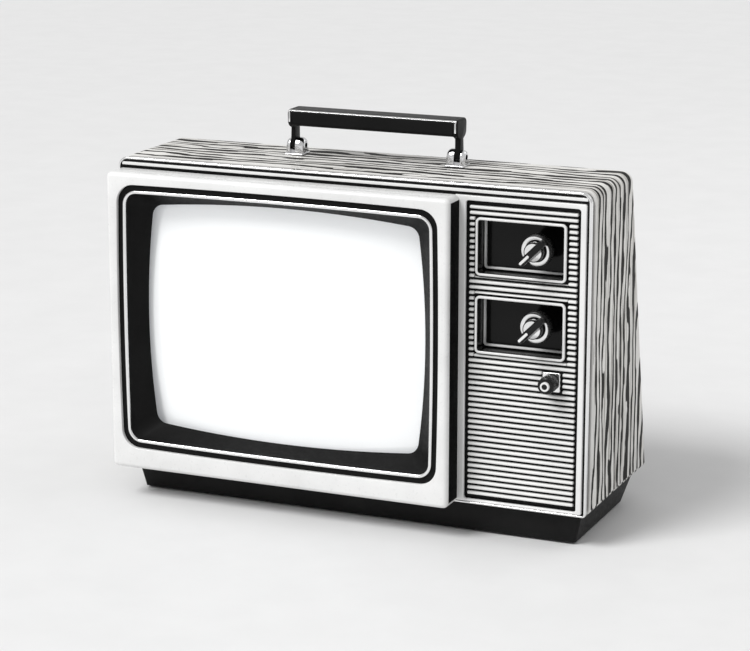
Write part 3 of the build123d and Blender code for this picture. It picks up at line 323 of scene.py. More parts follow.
# ---------------------------------------------------------------- mesh tools
def outline(width, height, radii, bulge=0.0, steps=(SIDE_STEPS, CORNER_STEPS)):
    """Points round a rectangle with bowed sides; radii are top right, top left, low left, low right."""
    if isinstance(radii, float):
        radii = (radii,) * 4
    points = []
    for quarter in range(4):
        across, along = (width / 2, height / 2) if quarter % 2 == 0 else (height / 2, width / 2)
        before, after = radii[quarter - 1], radii[quarter]
        start, end = -(along - before - bulge), along - after - bulge
        turn = math.atan2(2 * bulge, end)
        here = []
        for i in range(steps[0] + 1):
            t = 2 * i / steps[0] - 1
            angle = turn * t
            here.append(
                (
                    across - after * (1 - math.cos(angle)) - bulge * t * t,
                    start + (end - start) * i / steps[0] + after * math.sin(angle),
                )
            )
        for i in range(1, steps[1]):
            angle = turn + (math.pi / 2 - 2 * turn) * i / steps[1]
            here.append((across - after - bulge + after * math.cos(angle), end + after * math.sin(angle)))
        c, s = round(math.cos(quarter * math.pi / 2)), round(math.sin(quarter * math.pi / 2))
        points += [(a * c - b * s, a * s + b * c) for a, b in here]
    return points


def loop_maker(lo, hi, radii, bulge=0.0, steps=(SIDE_STEPS, CORNER_STEPS)):
    """Function of (inset, y) that gives the loop round a box seen from the front."""

    def loop(inset, y):
        if isinstance(radii, float):
            corner = max(radii - inset, SMALLEST_CORNER)
        else:
            corner = tuple(max(r - inset, SMALLEST_CORNER) for r in radii)
        shape = outline(hi.x - lo.x - 2 * inset, hi.z - lo.z - 2 * inset, corner, bulge, steps)
        return [Vector(((lo.x + hi.x) / 2 + x, y, (lo.z + hi.z) / 2 + z)) for x, z in shape]

    return loop


def circle(centre, radius, y, count, flutes=0, depth=0.0):
    """Loop round a knob's axis at one y, plain or with shallow flutes."""
    loop = []
    for i in range(count):
        angle = 2 * math.pi * i / count
        r = radius - depth * (0.5 - 0.5 * math.cos(angle * flutes))
        loop.append(Vector((centre.x + r * math.cos(angle), y, centre.z + r * math.sin(angle))))
    return loop


def quarter_round(radius, steps=5):
    """(sideways, along) steps of a rounded edge, from the side wall to the face."""
    angles = [math.pi / 2 * i / steps for i in range(steps + 1)]
    return [(radius * (1 - math.cos(a)), radius * (1 - math.sin(a))) for a in angles]


def finish_mesh(name, mesh, looks):
    """Object from a mesh, with outward normals, smooth faces and sharp creases."""
    made = bmesh.new()
    made.from_mesh(mesh)
    bmesh.ops.remove_doubles(made, verts=made.verts, dist=1e-7)
    bmesh.ops.recalc_face_normals(made, faces=made.faces)
    made.to_mesh(mesh)
    made.free()
    for look in looks:
        mesh.materials.append(look)
    mesh.polygons.foreach_set("use_smooth", [True] * len(mesh.polygons))
    mesh.set_sharp_from_angle(angle=SHARP)
    obj = bpy.data.objects.new(name, mesh)
    bpy.context.scene.collection.objects.link(obj)
    return obj


def skin(name, loops, looks, cyclic=False, bands=None, with_uv=False):
    """Skin over loops of equally many points; bands holds the material index from each loop to the next."""
    count = len(loops[0])
    faces, marks = [], []
    for s in range(len(loops) if cyclic else len(loops) - 1):
        a, b = s * count, (s + 1) % len(loops) * count
        faces += [(a + i, a + (i + 1) % count, b + (i + 1) % count, b + i) for i in range(count)]
        marks += [bands[s] if bands else 0] * count
    if not cyclic:
        for end, first in ((0, 0), (-1, (len(loops) - 1) * count)):
            faces.append(tuple(range(first, first + count)))
            marks.append(bands[end] if bands else 0)
    mesh = bpy.data.meshes.new(name)
    mesh.from_pydata([p for loop in loops for p in loop], [], faces)
    mesh.polygons.foreach_set("material_index", marks)
    if with_uv:
        length = [0.0]
        for i in range(count):
            length.append(length[-1] + (loops[0][(i + 1) % count] - loops[0][i]).length)
        layer = mesh.uv_layers.new(name="UVMap")
        for face in mesh.polygons:
            columns = [mesh.loops[k].vertex_index % count for k in face.loop_indices]
            wraps = 0 in columns and count - 1 in columns
            for k, column in zip(face.loop_indices, columns):
                u = length[count] if wraps and column == 0 else length[column]
                layer.data[k].uv = (u, mesh.vertices[mesh.loops[k].vertex_index].co.y)
    return finish_mesh(name, mesh, looks)


def soften(obj, width, segments=3):
    """Rounded edges by a bevel modifier."""
    modifier = obj.modifiers.new("soft_edges", "BEVEL")
    modifier.width = width
    modifier.segments = segments
    modifier.limit_method = "ANGLE"
    modifier.angle_limit = math.radians(40)
    modifier.harden_normals = True
    return obj


def join_boxes(name, boxes, looks):
    """One mesh of several closed boxes, each (low corner, high corner)."""
    verts, faces = [], []
    for lo, hi in boxes:
        first = len(verts)
        verts += [(x, y, z) for x in (lo[0], hi[0]) for y in (lo[1], hi[1]) for z in (lo[2], hi[2])]
        for face in ((0, 1, 3, 2), (4, 6, 7, 5), (0, 4, 5, 1), (2, 3, 7, 6), (0, 2, 6, 4), (1, 5, 7, 3)):
            faces.append(tuple(first + i for i in face))
    mesh = bpy.data.meshes.new(name)
    mesh.from_pydata(verts, [], faces)
    return finish_mesh(name, mesh, looks)


def prism(name, outline_yz, x_lo, x_hi, looks, edge_lo, edge_hi=None):
    """Solid with a side-view outline between two x values; each end has its own rounded rim."""
    loops = []
    centre = Vector((0, sum(p[0] for p in outline_yz), sum(p[1] for p in outline_yz))) / len(outline_yz)
    rims = [(x_lo + along, side) for side, along in reversed(quarter_round(edge_lo))]
    rims += [(x_hi - along, side) for side, along in quarter_round(edge_lo if edge_hi is None else edge_hi)]
    for x, inset in rims:
        loop = []
        for y, z in outline_yz:
            reach = Vector((0, y, z)) - centre
            point = centre + reach * (1 - inset / reach.length)
            loop.append(Vector((x, point.y, point.z)))
        loops.append(loop)
    return skin(name, loops, looks)


def install(obj, *nodes):
    """The piece stands for CAD nodes and rides on their body."""
    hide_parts(*nodes)
    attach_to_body(obj, NODE_BODIES[nodes[0]])
    return obj


def attach(obj, node):
    """The piece rides with a CAD node's body."""
    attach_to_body(obj, NODE_BODIES[node])
    return obj


# ---------------------------------------------------------------- cabinet
def rear_y(z):
    """Place of the wrap's slanted rear edge at a height."""
    return cover_lo.y + (shell_hi.z - z) * REAR_SLOPE


def make_shell():
    """Wood wrap with a slanted rear edge and rounded rims; the grain follows the girth."""
    wall, rim = 3.0 * MM, 0.8 * MM
    make = loop_maker(shell_lo, shell_hi, CABINET_RADII)

    def at_rear(inset, back_off):
        return [Vector((p.x, rear_y(p.z) - back_off, p.z)) for p in make(inset, 0)]

    def between(inset, share):
        start, end = make(inset, shell_lo.y + rim), at_rear(inset, rim)
        return [a.lerp(b, share) for a, b in zip(start, end)]

    edge = quarter_round(rim, 3)
    loops = [between(0, share) for share in (0, 0.012, 0.25, 0.5, 0.75, 1)]
    loops += [at_rear(inset, along) for inset, along in edge[1:]]
    loops += [at_rear(wall - inset, along) for inset, along in reversed(edge)]
    front_rim = len(loops)
    loops += [make(wall - inset, shell_lo.y + along) for inset, along in edge]
    loops += [make(inset, shell_lo.y + along) for inset, along in reversed(edge[1:])]
    bands = [1] + [0] * (front_rim - 1) + [1] * (len(loops) - front_rim)
    shell = skin("cabinet_wrap", loops, [WOOD, EDGE_BAND], cyclic=True, bands=bands, with_uv=True)
    return install(shell, "cabinet_shell")


def make_corner_blocks():
    """Blocks inside the wrap's corners that take the cover screws; their rear follows the slant."""
    block, wall = 17 * MM, 3.2 * MM
    plain, round_top = 1.2 * MM, 8 * MM
    rows = ((0.5 * MM, block), (0, block - 0.5 * MM), (0, 0.7 * MM), (0.5 * MM, 0.2 * MM))
    radii = {
        "tl": (plain, round_top, plain, plain),
        "tr": (round_top, plain, plain, plain),
        "bl": (plain,) * 4,
        "br": (plain,) * 4,
    }
    for name, corners in radii.items():
        x = wall - shell_hi.x if name[1] == "l" else shell_hi.x - wall - block
        z = shell_hi.z - wall - block if name[0] == "t" else shell_lo.z + wall
        make = loop_maker(Vector((x, 0, z)), Vector((x + block, 0, z + block)), corners)
        loops = [[Vector((p.x, rear_y(p.z) - back, p.z)) for p in make(inset, 0)] for inset, back in rows]
        attach(skin(f"cabinet_corner_block_{name}", loops, [MOULDED]), "cabinet_shell")


def make_bead():
    """Polished bead round the front edge, with the thin bar above the bezel."""
    lo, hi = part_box("front_bead")
    make = loop_maker(lo, hi, CABINET_RADII)
    width, big, small = 2.2 * MM, 1.4 * MM, 0.5 * MM
    loops = [make(0, hi.y)]
    loops += [make(inset, lo.y + along) for inset, along in quarter_round(big, 6)]
    loops += [make(width - inset, lo.y + along) for inset, along in reversed(quarter_round(small, 3))]
    loops += [make(width, hi.y)]
    install(skin("front_edge_bead", loops, [BRIGHT], cyclic=True), "front_bead")
    bar_low, bar_high = 362.8 * MM, 366.0 * MM
    bar_front, bar_rear = lo.y + 1 * MM, lo.y + 3 * MM
    bead_inside = CABINET_RADII[0] - width
    rise = bar_high - (hi.z - CABINET_RADII[0])
    reach = lo.x + CABINET_RADII[0] - math.sqrt(bead_inside**2 - rise**2)
    bar = loop_maker(Vector((reach, 0, bar_low)), Vector((-reach, 0, bar_high)), 0.6 * MM)
    loops = [bar(0, bar_rear)]
    loops += [bar(inset, bar_front + along) for inset, along in quarter_round(0.5 * MM, 3)]
    attach(skin("brow_bar", loops, [LIGHT]), "front_bead")


def make_plinth():
    """Tapered plinth with rounded corners and edges."""
    lo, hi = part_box("base_plinth")
    front, rear = bezel_lo.y + 45 * MM, bezel_lo.y + 198 * MM
    top_half, low_half = hi.x, 249 * MM
    top_edge, low_edge, corner = 1.2 * MM, 2 * MM, 3 * MM
    rows = [(share, 0.0, lo.z + (hi.z - lo.z) * share) for share in (1.0, 0.75, 0.5, 0.25, 0.03)]
    rows = [(1.0, top_edge, hi.z)] + rows + [(0.0, 0.0, lo.z + 1.0 * MM), (0.0, low_edge, lo.z)]
    loops = []
    for share, inset, z in rows:
        half = low_half + (top_half - low_half) * share - inset
        y0 = front + (lo.y - front) * share + inset
        y1 = rear + (hi.y - rear) * share - inset
        ring = outline(2 * half, y1 - y0, corner)
        loops.append([Vector((x, (y0 + y1) / 2 + y, z)) for x, y in ring])
    install(skin("tapered_plinth", loops, [BLACK_MATT]), "base_plinth")


# ---------------------------------------------------------------- screen side
def make_bezel():
    """Bezel: rounded outer edge, flat face, softly turned-in opening, hollow behind."""
    lo, hi = bezel_lo, Vector((bezel_hi.x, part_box("front_bead")[0].y, bezel_hi.z))
    wall, face, big, lip = 3.5 * MM, 4.0 * MM, 5.0 * MM, 1.0 * MM
    make = loop_maker(lo, hi, 6 * MM)
    groove = mask_opening(*GROOVE, 20 * MM, SLIGHT_BOW)
    loops = [make(0, hi.y)]
    loops += [make(inset, lo.y + along) for inset, along in quarter_round(big, 8)]
    loops += [groove(-lip + inset, lo.y + along) for inset, along in ((0, 0), (0.3 * MM, 0.05 * MM))]
    loops += [groove(-inset, lo.y + along) for inset, along in reversed(quarter_round(0.7 * MM, 3))]
    loops += [groove(0, lo.y + face)]
    loops += [make(wall, lo.y + face), make(wall, hi.y)]
    bezel = skin("screen_surround", loops, [LIGHT, BLACK_MATT], cyclic=True)
    # Painted shade: the flank beside the control panel, which lies in shadow, gets the black finish like
    # the strip next to it; the other flank stays light.
    for polygon in bezel.data.polygons:
        if polygon.center.x > hi.x - 0.1 * MM and polygon.center.y > lo.y + big:
            polygon.material_index = 1
    return install(bezel, "screen_bezel")


def mask_opening(width, height, radius, bow):
    """Loop maker round the tube's axis."""
    lo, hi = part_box("mask_ring")
    centre = (lo + hi) / 2
    half = Vector((width / 2, 0, height / 2))
    return loop_maker(centre - half, centre + half, radius, bow)


def make_step_strip():
    """Black filler strip on the bezel's step, with fine upright reeds; its black also stands in for the
    shade on the step, as painted shade.
    """
    lo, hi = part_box("step_strip")
    reeds, gap, reed_height = 7, 0.5 * MM, 0.7 * MM
    pitch = (hi.y - lo.y) / reeds
    boxes = [((lo.x, lo.y, lo.z), (hi.x - reed_height, hi.y, hi.z))]
    for i in range(reeds):
        start, end = lo.y + i * pitch + gap / 2, lo.y + (i + 1) * pitch - gap / 2
        boxes.append(((lo.x, start, lo.z), (hi.x, end, hi.z)))
    strip = join_boxes("step_reeded_strip", boxes, [BLACK_MATT])
    return install(soften(strip, 0.25 * MM, 2), "step_strip")


def make_mask():
    """Black flange and funnel down to the glass."""
    lo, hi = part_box("tube_mask")
    front, rear, thick = lo.y, hi.y, 4 * MM
    flange = mask_opening(GROOVE[0] + 8 * MM, GROOVE[1] + 5 * MM, 20 * MM, SLIGHT_BOW)
    mouth = mask_opening(*RING_INSIDE, 14 * MM, SLIGHT_BOW)
    throat = mask_opening(*SCREEN_OPENING, 13 * MM, SCREEN_BOW)
    back = mask_opening(*(side + 7 * MM for side in SCREEN_OPENING), 16 * MM, SCREEN_BOW)
    outer = mask_opening(*RING_OUTSIDE, RING_CORNER, SLIGHT_BOW)

    def funnel(start, end, share, y_start):
        return [a.lerp(b, share) for a, b in zip(start(0, y_start), end(0, rear))]

    loops = [flange(0, front + thick), flange(0, front + 0.5 * MM), flange(0.5 * MM, front)]
    loops += [mouth(-0.6 * MM, front), mouth(-0.15 * MM, front + 0.15 * MM)]
    loops += [funnel(mouth, throat, share, front + 0.6 * MM) for share in (0, 0.25, 0.5, 0.75)]
    loops += [throat(0, rear - 0.6 * MM), throat(-0.5 * MM, rear), back(0, rear)]
    loops += [outer(0, front + thick)]
    return install(skin("screen_mask", loops, [BLACK_DEEP], cyclic=True), "tube_mask")


def make_mask_ring():
    """Bright ring with a rounded crown."""
    lo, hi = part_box("mask_ring")
    outer = mask_opening(*RING_OUTSIDE, RING_CORNER, SLIGHT_BOW)
    width, crown = 3.5 * MM, 1.3 * MM
    loops = [outer(0, hi.y)]
    loops += [outer(inset, lo.y + along) for inset, along in quarter_round(crown, 5)]
    loops += [outer(width - inset, lo.y + along) for inset, along in reversed(quarter_round(crown, 5))]
    loops += [outer(width, hi.y)]
    return install(skin("screen_trim_ring", loops, [BRIGHT], cyclic=True), "mask_ring")


def make_tube():
    """Picture tube: bowed face, straight skirt, cone and open neck."""
    lo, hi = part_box("picture_tube")
    face_corner, face_bow, skirt_rear, face_rings = 24 * MM, 6.5 * MM, 75, 16
    centre = Vector(((lo.x + hi.x) / 2, 0, (lo.z + hi.z) / 2))
    apex, curve = lo.y, 1.2
    edge = mask_opening(hi.x - lo.x, hi.z - lo.z, face_corner, face_bow)(0, 0)

    def face(share):
        loop = []
        for p in edge:
            flat = Vector((p.x - centre.x, 0, p.z - centre.z)) * share
            sag = curve - math.sqrt(curve * curve - flat.length_squared)
            loop.append(Vector((centre.x + flat.x, apex + sag, centre.z + flat.z)))
        return loop

    def section(depth, w, h, r):
        """Loop at a depth behind the bezel's face, in millimetres."""
        half = Vector((w / 2, 0, h / 2)) * MM
        return loop_maker(centre - half, centre + half, r * MM)(0, bezel_lo.y + depth * MM)

    loops = [face(ring / face_rings) for ring in range(1, face_rings + 1)]
    loops += [[Vector((p.x, bezel_lo.y + skirt_rear * MM, p.z)) for p in edge]]
    loops += [section(skirt_rear, 330, 264, 40), section(108, 264, 216, 50), section(140, 200, 170, 60)]
    loops += [section(170, 132, 117, 45), section(200, 64, 64, 30)]
    loops += [section(depth, 29, 29, 14.4) for depth in (200.5, 240, 296)]
    loops += [section(depth, 25, 25, 12.4) for depth in (296, 215)]
    return install(skin("picture_tube_glass", loops, [SCREEN]), "picture_tube")


# ---------------------------------------------------------------- control side
def make_control_frame():
    """Light surround of the ribbed panel."""
    lo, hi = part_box("control_frame")
    open_lo, open_hi = Vector((132.0, 0, 40.7)) * MM, Vector((254.1, 0, 354.6)) * MM
    outer, inner = loop_maker(lo, hi, 2 * MM), loop_maker(open_lo, open_hi, 3 * MM)
    edge = quarter_round(0.9 * MM, 4)
    loops = [outer(0, hi.y)]
    loops += [outer(inset, lo.y + along) for inset, along in edge]
    loops += [inner(-inset, lo.y + along) for inset, along in reversed(edge)]
    loops += [inner(0, hi.y)]
    return install(skin("control_surround", loops, [LIGHT], cyclic=True), "control_frame")


def cut_out(boxes, hole):
    """Flat boxes (x lo, x hi, z lo, z hi) without the part inside a hole; slivers are dropped."""
    sliver = 0.8 * MM
    kept = []
    for x0, x1, z0, z1 in boxes:
        hx0, hx1, hz0, hz1 = hole
        if hx1 <= x0 or hx0 >= x1 or hz1 <= z0 or hz0 >= z1:
            kept.append((x0, x1, z0, z1))
            continue
        left, right = max(x0, hx0), min(x1, hx1)
        low, high = max(z0, hz0), min(z1, hz1)
        parts = ((x0, hx0, z0, z1), (hx1, x1, z0, z1), (left, right, z0, low), (left, right, high, z1))
        kept += [part for part in parts if part[1] - part[0] > sliver and part[3] - part[2] > sliver]
    return kept


def make_grille():
    """Round-nosed ribs on two rails, cut out round the windows and the volume plate."""
    lo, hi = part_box("grille_panel")
    pitch, height, count, clear = 5.9 * MM, 3.4 * MM, 52, 1.6 * MM
    holes = []
    for node in ("vhf_escutcheon", "uhf_escutcheon", "volume_plate"):
        a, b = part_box(node)
        holes.append((a.x - clear, b.x + clear, a.z - clear, b.z + clear))
    verts, faces = [], []
    nose, taper = 1.1 * MM, 0.2 * MM
    rows = [(0.15 * MM, hi.y - 0.4 * MM), (0.0, hi.y - 0.9 * MM), (taper, lo.y + nose)]
    rows += [(taper + inset, lo.y + along) for inset, along in quarter_round(nose, 4)[1:]]
    for i in range(count):
        low = lo.z + i * pitch
        ribs = [(lo.x, hi.x, low, low + height)]
        for hole in holes:
            ribs = cut_out(ribs, hole)
        for x0, x1, z0, z1 in ribs:
            corner = min(1.3 * MM, (z1 - z0) / 2.2)
            make = loop_maker(Vector((x0, 0, z0)), Vector((x1, 0, z1)), corner, steps=(1, 3))
            loops = [make(min(inset, (z1 - z0) * 0.38), y) for inset, y in rows]
            first, size = len(verts), len(loops[0])
            verts += [p for loop in loops for p in loop]
            for s in range(len(loops) - 1):
                a, b = first + s * size, first + (s + 1) * size
                faces += [(a + k, a + (k + 1) % size, b + (k + 1) % size, b + k) for k in range(size)]
            faces.append(tuple(range(first, first + size)))
            faces.append(tuple(range(first + (len(loops) - 1) * size, first + len(loops) * size)))
    mesh = bpy.data.meshes.new("panel_ribs")
    mesh.from_pydata(verts, [], faces)
    ribs = finish_mesh("panel_ribs", mesh, [RIBS])
    rail_width, rail_depth, side_gap, end_gap = 3.6 * MM, 1.4 * MM, 0.2 * MM, 1 * MM
    rails = [
        ((x, hi.y - rail_depth, lo.z + end_gap), (x + rail_width, hi.y, hi.z - end_gap))
        for x in (lo.x + side_gap, hi.x - side_gap - rail_width)
    ]
    attach(soften(join_boxes("panel_rails", rails, [BLACK_MATT]), 0.4 * MM, 2), "grille_panel")
    return install(ribs, "grille_panel")


def make_window(band):
    """Bright frame line, black pocket walls, smoked floor with a thin light line round it that is a painted
    highlight on the floor's edge.
    """
    lo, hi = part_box(f"{band}_escutcheon")
    line, radius, crown = 2.6 * MM, 5 * MM, 0.9 * MM
    make = loop_maker(lo, hi, radius)
    edge = quarter_round(crown, 5)
    flange = lo.y + 2.5 * MM
    loops = [make(0, flange)]
    loops += [make(inset, lo.y + along) for inset, along in edge]
    loops += [make(line - inset, lo.y + along) for inset, along in reversed(edge)]
    bright = len(loops) - 1
    pocket = line - 1.5 * MM
    loops += [make(line, lo.y + 2 * MM), make(line, hi.y), make(pocket, hi.y), make(pocket, flange)]
    bands = [0] * bright + [1] * (len(loops) - bright)
    escutcheon = skin(f"{band}_window_frame", loops, [LIGHT, BLACK_GLOSS], cyclic=True, bands=bands)
    install(escutcheon, f"{band}_escutcheon")

    floor_lo, floor_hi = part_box(f"{band}_window")
    base = loop_maker(floor_lo, floor_hi, radius - line)
    bevel = 0.3 * MM
    plate = [base(0, floor_hi.y), base(0, floor_lo.y + bevel), base(bevel, floor_lo.y)]
    install(skin(f"{band}_smoked_plate", plate, [SMOKED]), f"{band}_window")
    # Painted highlight: a light line round the pocket floor stands in for the glint along the pocket's
    # inner edge.
    near, width, proud, soft = 0.4 * MM, 2.2 * MM, 3.0 * MM, 0.4 * MM
    far = near + width
    highlight_loop = loop_maker(floor_lo + Vector((0, 0, 1.0 * MM)), floor_hi, 4.0 * MM)
    foot, top = floor_lo.y + 0.1 * MM, floor_lo.y - proud
    strip = [highlight_loop(near, foot), highlight_loop(near, top + soft), highlight_loop(near + soft, top)]
    strip += [highlight_loop(far - soft, top), highlight_loop(far, top + soft), highlight_loop(far, foot)]
    attach(skin(f"{band}_window_painted_highlight", strip, [LIGHT], cyclic=True), f"{band}_window")


def turned(name, centre, profile, looks, bands=None, flutes=0, fluted=(), depth=0.0):
    """Round piece on an axis along Y; profile is (radius, y); fluted lists the profile rows with flutes."""
    count = flutes * STEPS_PER_FLUTE if flutes else ROUND_STEPS
    loops = []
    for row, (radius, y) in enumerate(profile):
        cut = depth if row in fluted else 0.0
        loops.append(circle(centre, radius, y, count, flutes, cut))
    return skin(name, loops, looks, bands=bands)


def make_tuning_knobs(band):
    """Fluted fine-tuning ring with a bright annulus, and the channel knob inside it."""
    lo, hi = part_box(f"{band}_fine_ring")
    centre = (lo + hi) / 2
    radius, front = (hi.x - lo.x) / 2, lo.y
    bore, tube, hub = 3.1 * MM, 5 * MM, 9 * MM
    skirt, hub_rear, sunk = front + 8.5 * MM, front + 28 * MM, front + 0.15 * MM
    profile = [
        (bore, hi.y),
        (tube, hi.y),
        (tube, hub_rear),
        (hub, hub_rear),
        (hub, skirt),
        (radius - 0.8 * MM, skirt),
        (radius, skirt - 0.8 * MM),
        (radius, front + 1.4 * MM),
        (radius - 0.35 * MM, front + 0.5 * MM),
        (radius - 0.9 * MM, front + 0.1 * MM),
        (radius - 1.3 * MM, front),
        (radius - 1.5 * MM, sunk),
        (11.6 * MM, sunk),
        (11.4 * MM, front),
        (10.6 * MM, front),
        (10.2 * MM, front + 0.6 * MM),
        (bore, front + 0.6 * MM),
        (bore, hi.y),
    ]
    bands = [0] * len(profile)
    bands[11] = 1
    looks = [BLACK_GLOSS, BRIGHT]
    ring = turned(f"{band}_fluted_ring", centre, profile, looks, bands[:-1], 44, (6, 7), 0.55 * MM)
    install(ring, f"{band}_fine_ring")

    lo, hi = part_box(f"{band}_channel_knob")
    face, knob_r, axis = lo.y + 6 * MM, 10 * MM, 0.05 * MM
    inlaid = face + 0.12 * MM
    profile = [
        (3 * MM, hi.y),
        (knob_r - 0.5 * MM, hi.y),
        (knob_r, hi.y - 0.5 * MM),
        (knob_r, face + 0.8 * MM),
        (knob_r - 0.25 * MM, face + 0.25 * MM),
        (knob_r - 0.8 * MM, face),
        (knob_r - 1.1 * MM, inlaid),
        (axis, inlaid),
    ]
    body = turned(f"{band}_knob_body", centre, profile, looks, [0, 0, 0, 0, 0, 0, 1])
    install(body, f"{band}_channel_knob")
    make_knob_bar(band, centre, lo.y)


def make_knob_bar(band, centre, tip_y):
    """Black grip bar across the channel knob's face, with a light line to its lower left end that is partly
    a pointer mark and partly a painted highlight.
    """
    turn = Matrix.Rotation(-math.pi / 4, 3, "Y")
    half, thick, front, rear = 18.5 * MM, 3.5 * MM, tip_y + 0.3 * MM, tip_y + 7 * MM
    axis = Vector((centre.x, 0, centre.z))

    def diagonal(make, rows):
        loops = []
        for inset, y in rows:
            flat = [turn @ p + axis for p in make(inset, 0)]
            loops.append([Vector((p.x, y, p.z)) for p in flat])
        return loops

    pill = loop_maker(Vector((-half, 0, -thick)), Vector((half, 0, thick)), thick - 0.05 * MM)
    rows = [(0, rear)] + [(inset, front + along) for inset, along in quarter_round(1.5 * MM, 5)]
    bar = skin(f"{band}_knob_bar", diagonal(pill, rows), [BLACK_GLOSS])
    attach(bar, f"{band}_channel_knob")

    # Painted highlight: the light line on the bar's lower left half stands in for the bar's highlight and
    # also serves as a pointer mark.
    start, end, line = -half + 1.6 * MM, -3.5 * MM, 1.35 * MM
    mark = loop_maker(Vector((start, 0, -line)), Vector((end, 0, line)), 1.3 * MM)
    rows = [(0, front + 0.4 * MM), (0, front - 0.1 * MM), (0.25 * MM, front - 0.3 * MM)]
    pointer_highlight = skin(f"{band}_knob_pointer_highlight", diagonal(mark, rows), [LIGHT])
    attach(pointer_highlight, f"{band}_channel_knob")


def make_volume():
    """Bright plate, fluted dark knob, and a light ring round its dark nose that is partly a trim ring and
    partly a painted highlight.
    """
    lo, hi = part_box("volume_plate")
    make = loop_maker(lo, hi, 1.3 * MM)
    loops = [make(0, hi.y)]
    loops += [make(inset, lo.y + along) for inset, along in quarter_round(0.7 * MM, 4)]
    shaft_lo, shaft_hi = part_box("volume_shaft")
    centre = (shaft_lo + shaft_hi) / 2
    reach = Vector((6.2, 0, 6.2)) * MM
    hole = loop_maker(centre - reach, centre + reach, 6.15 * MM)
    loops += [hole(0, lo.y), hole(0, hi.y)]
    install(skin("volume_back_plate", loops, [BRIGHT], cyclic=True), "volume_plate")

    lo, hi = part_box("volume_knob")
    r = (hi.x - lo.x) / 2
    profile = [(3 * MM, hi.y), (r - 0.6 * MM, hi.y), (r, hi.y - 0.6 * MM), (r, lo.y + 2.2 * MM)]
    profile += [(r - 0.5 * MM, lo.y + 0.9 * MM), (r - 1.4 * MM, lo.y + 0.2 * MM), (r - 2.2 * MM, lo.y)]
    profile += [(0.05 * MM, lo.y)]
    knob = turned("volume_fluted_knob", centre, profile, [BLACK_GLOSS], None, 30, (2, 3), 0.45 * MM)
    install(knob, "volume_knob")

    lo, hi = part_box("volume_nose")
    r = (hi.x - lo.x) / 2
    profile = [(r, hi.y), (r, lo.y + 0.6 * MM), (r - 0.2 * MM, lo.y + 0.15 * MM), (r - 0.6 * MM, lo.y)]
    profile += [(r - 1.5 * MM, lo.y), (r - 1.9 * MM, lo.y + 0.4 * MM), (0.05 * MM, lo.y + 0.7 * MM)]
    # Painted highlight: the light ring round the dark centre stands partly for a trim ring and partly for
    # the highlight on the nose's rim.
    bands = [1, 1, 1, 1, 1, 0]
    install(turned("volume_nose_highlight_ring", centre, profile, [BLACK_GLOSS, LIGHT], bands), "volume_nose")


# ---------------------------------------------------------------- handle
grip_lo, grip_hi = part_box("handle_grip")
arms_lo, arms_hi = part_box("handle_arms")
pin_lo, pin_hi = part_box("pivot_pins")
PIVOT_Y, PIVOT_Z = (pin_lo.y + pin_hi.y) / 2, (pin_lo.z + pin_hi.z) / 2
GRIP_CORNER = 4.0 * MM
ARM_SIDES = ((arms_lo.x, grip_lo.x), (grip_hi.x, arms_hi.x))
SLANT = math.sqrt(0.5)


def arc(centre_y, centre_z, radius, start, end, steps):
    """Points of an arc in a side view."""
    angles = [start + (end - start) * i / steps for i in range(steps + 1)]
    return [(centre_y + radius * math.cos(a), centre_z + radius * math.sin(a)) for a in angles]


def make_grip():
    """Rounded bar between the arms."""
    middle = (grip_lo + grip_hi) / 2
    shape = outline(grip_hi.y - grip_lo.y, grip_hi.z - grip_lo.z, GRIP_CORNER)
    section = [(middle.y + a, middle.z + b) for a, b in shape]
    install(prism("grip_bar", section, grip_lo.x, grip_hi.x, [GRIP], 0.4 * MM), "handle_grip")


def make_arms():
    """Two arms: a round eye at the pivot, a narrow neck and a head with the grip's section."""
    half, soft = 6 * MM, 2.2 * MM
    neck = grip_lo.z - 3.0 * MM
    flare, shoulder = neck + 3.6 * MM, neck + 7 * MM
    depth = (grip_hi.y - grip_lo.y) / 2
    inside, corner_z = depth - GRIP_CORNER, grip_hi.z - GRIP_CORNER
    arm = arc(PIVOT_Y, PIVOT_Z, half, math.pi, 2 * math.pi, 16)
    arm += [(PIVOT_Y + half, neck), (PIVOT_Y + depth - soft, flare), (PIVOT_Y + depth, shoulder)]
    arm += arc(PIVOT_Y + inside, corner_z, GRIP_CORNER, 0, math.pi / 2, 8)
    arm += arc(PIVOT_Y - inside, corner_z, GRIP_CORNER, math.pi / 2, math.pi, 8)
    arm += [(PIVOT_Y - depth, shoulder), (PIVOT_Y - depth + soft, flare), (PIVOT_Y - half, neck)]
    rim, joint = 2.6 * MM, 0.4 * MM
    for name, ends, edges in zip(("arm_left", "arm_right"), ARM_SIDES, ((rim, joint), (joint, rim))):
        obj = prism(name, arm, *ends, [GRIP], *edges)
        attach(obj, "handle_arms")
    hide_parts("handle_arms")


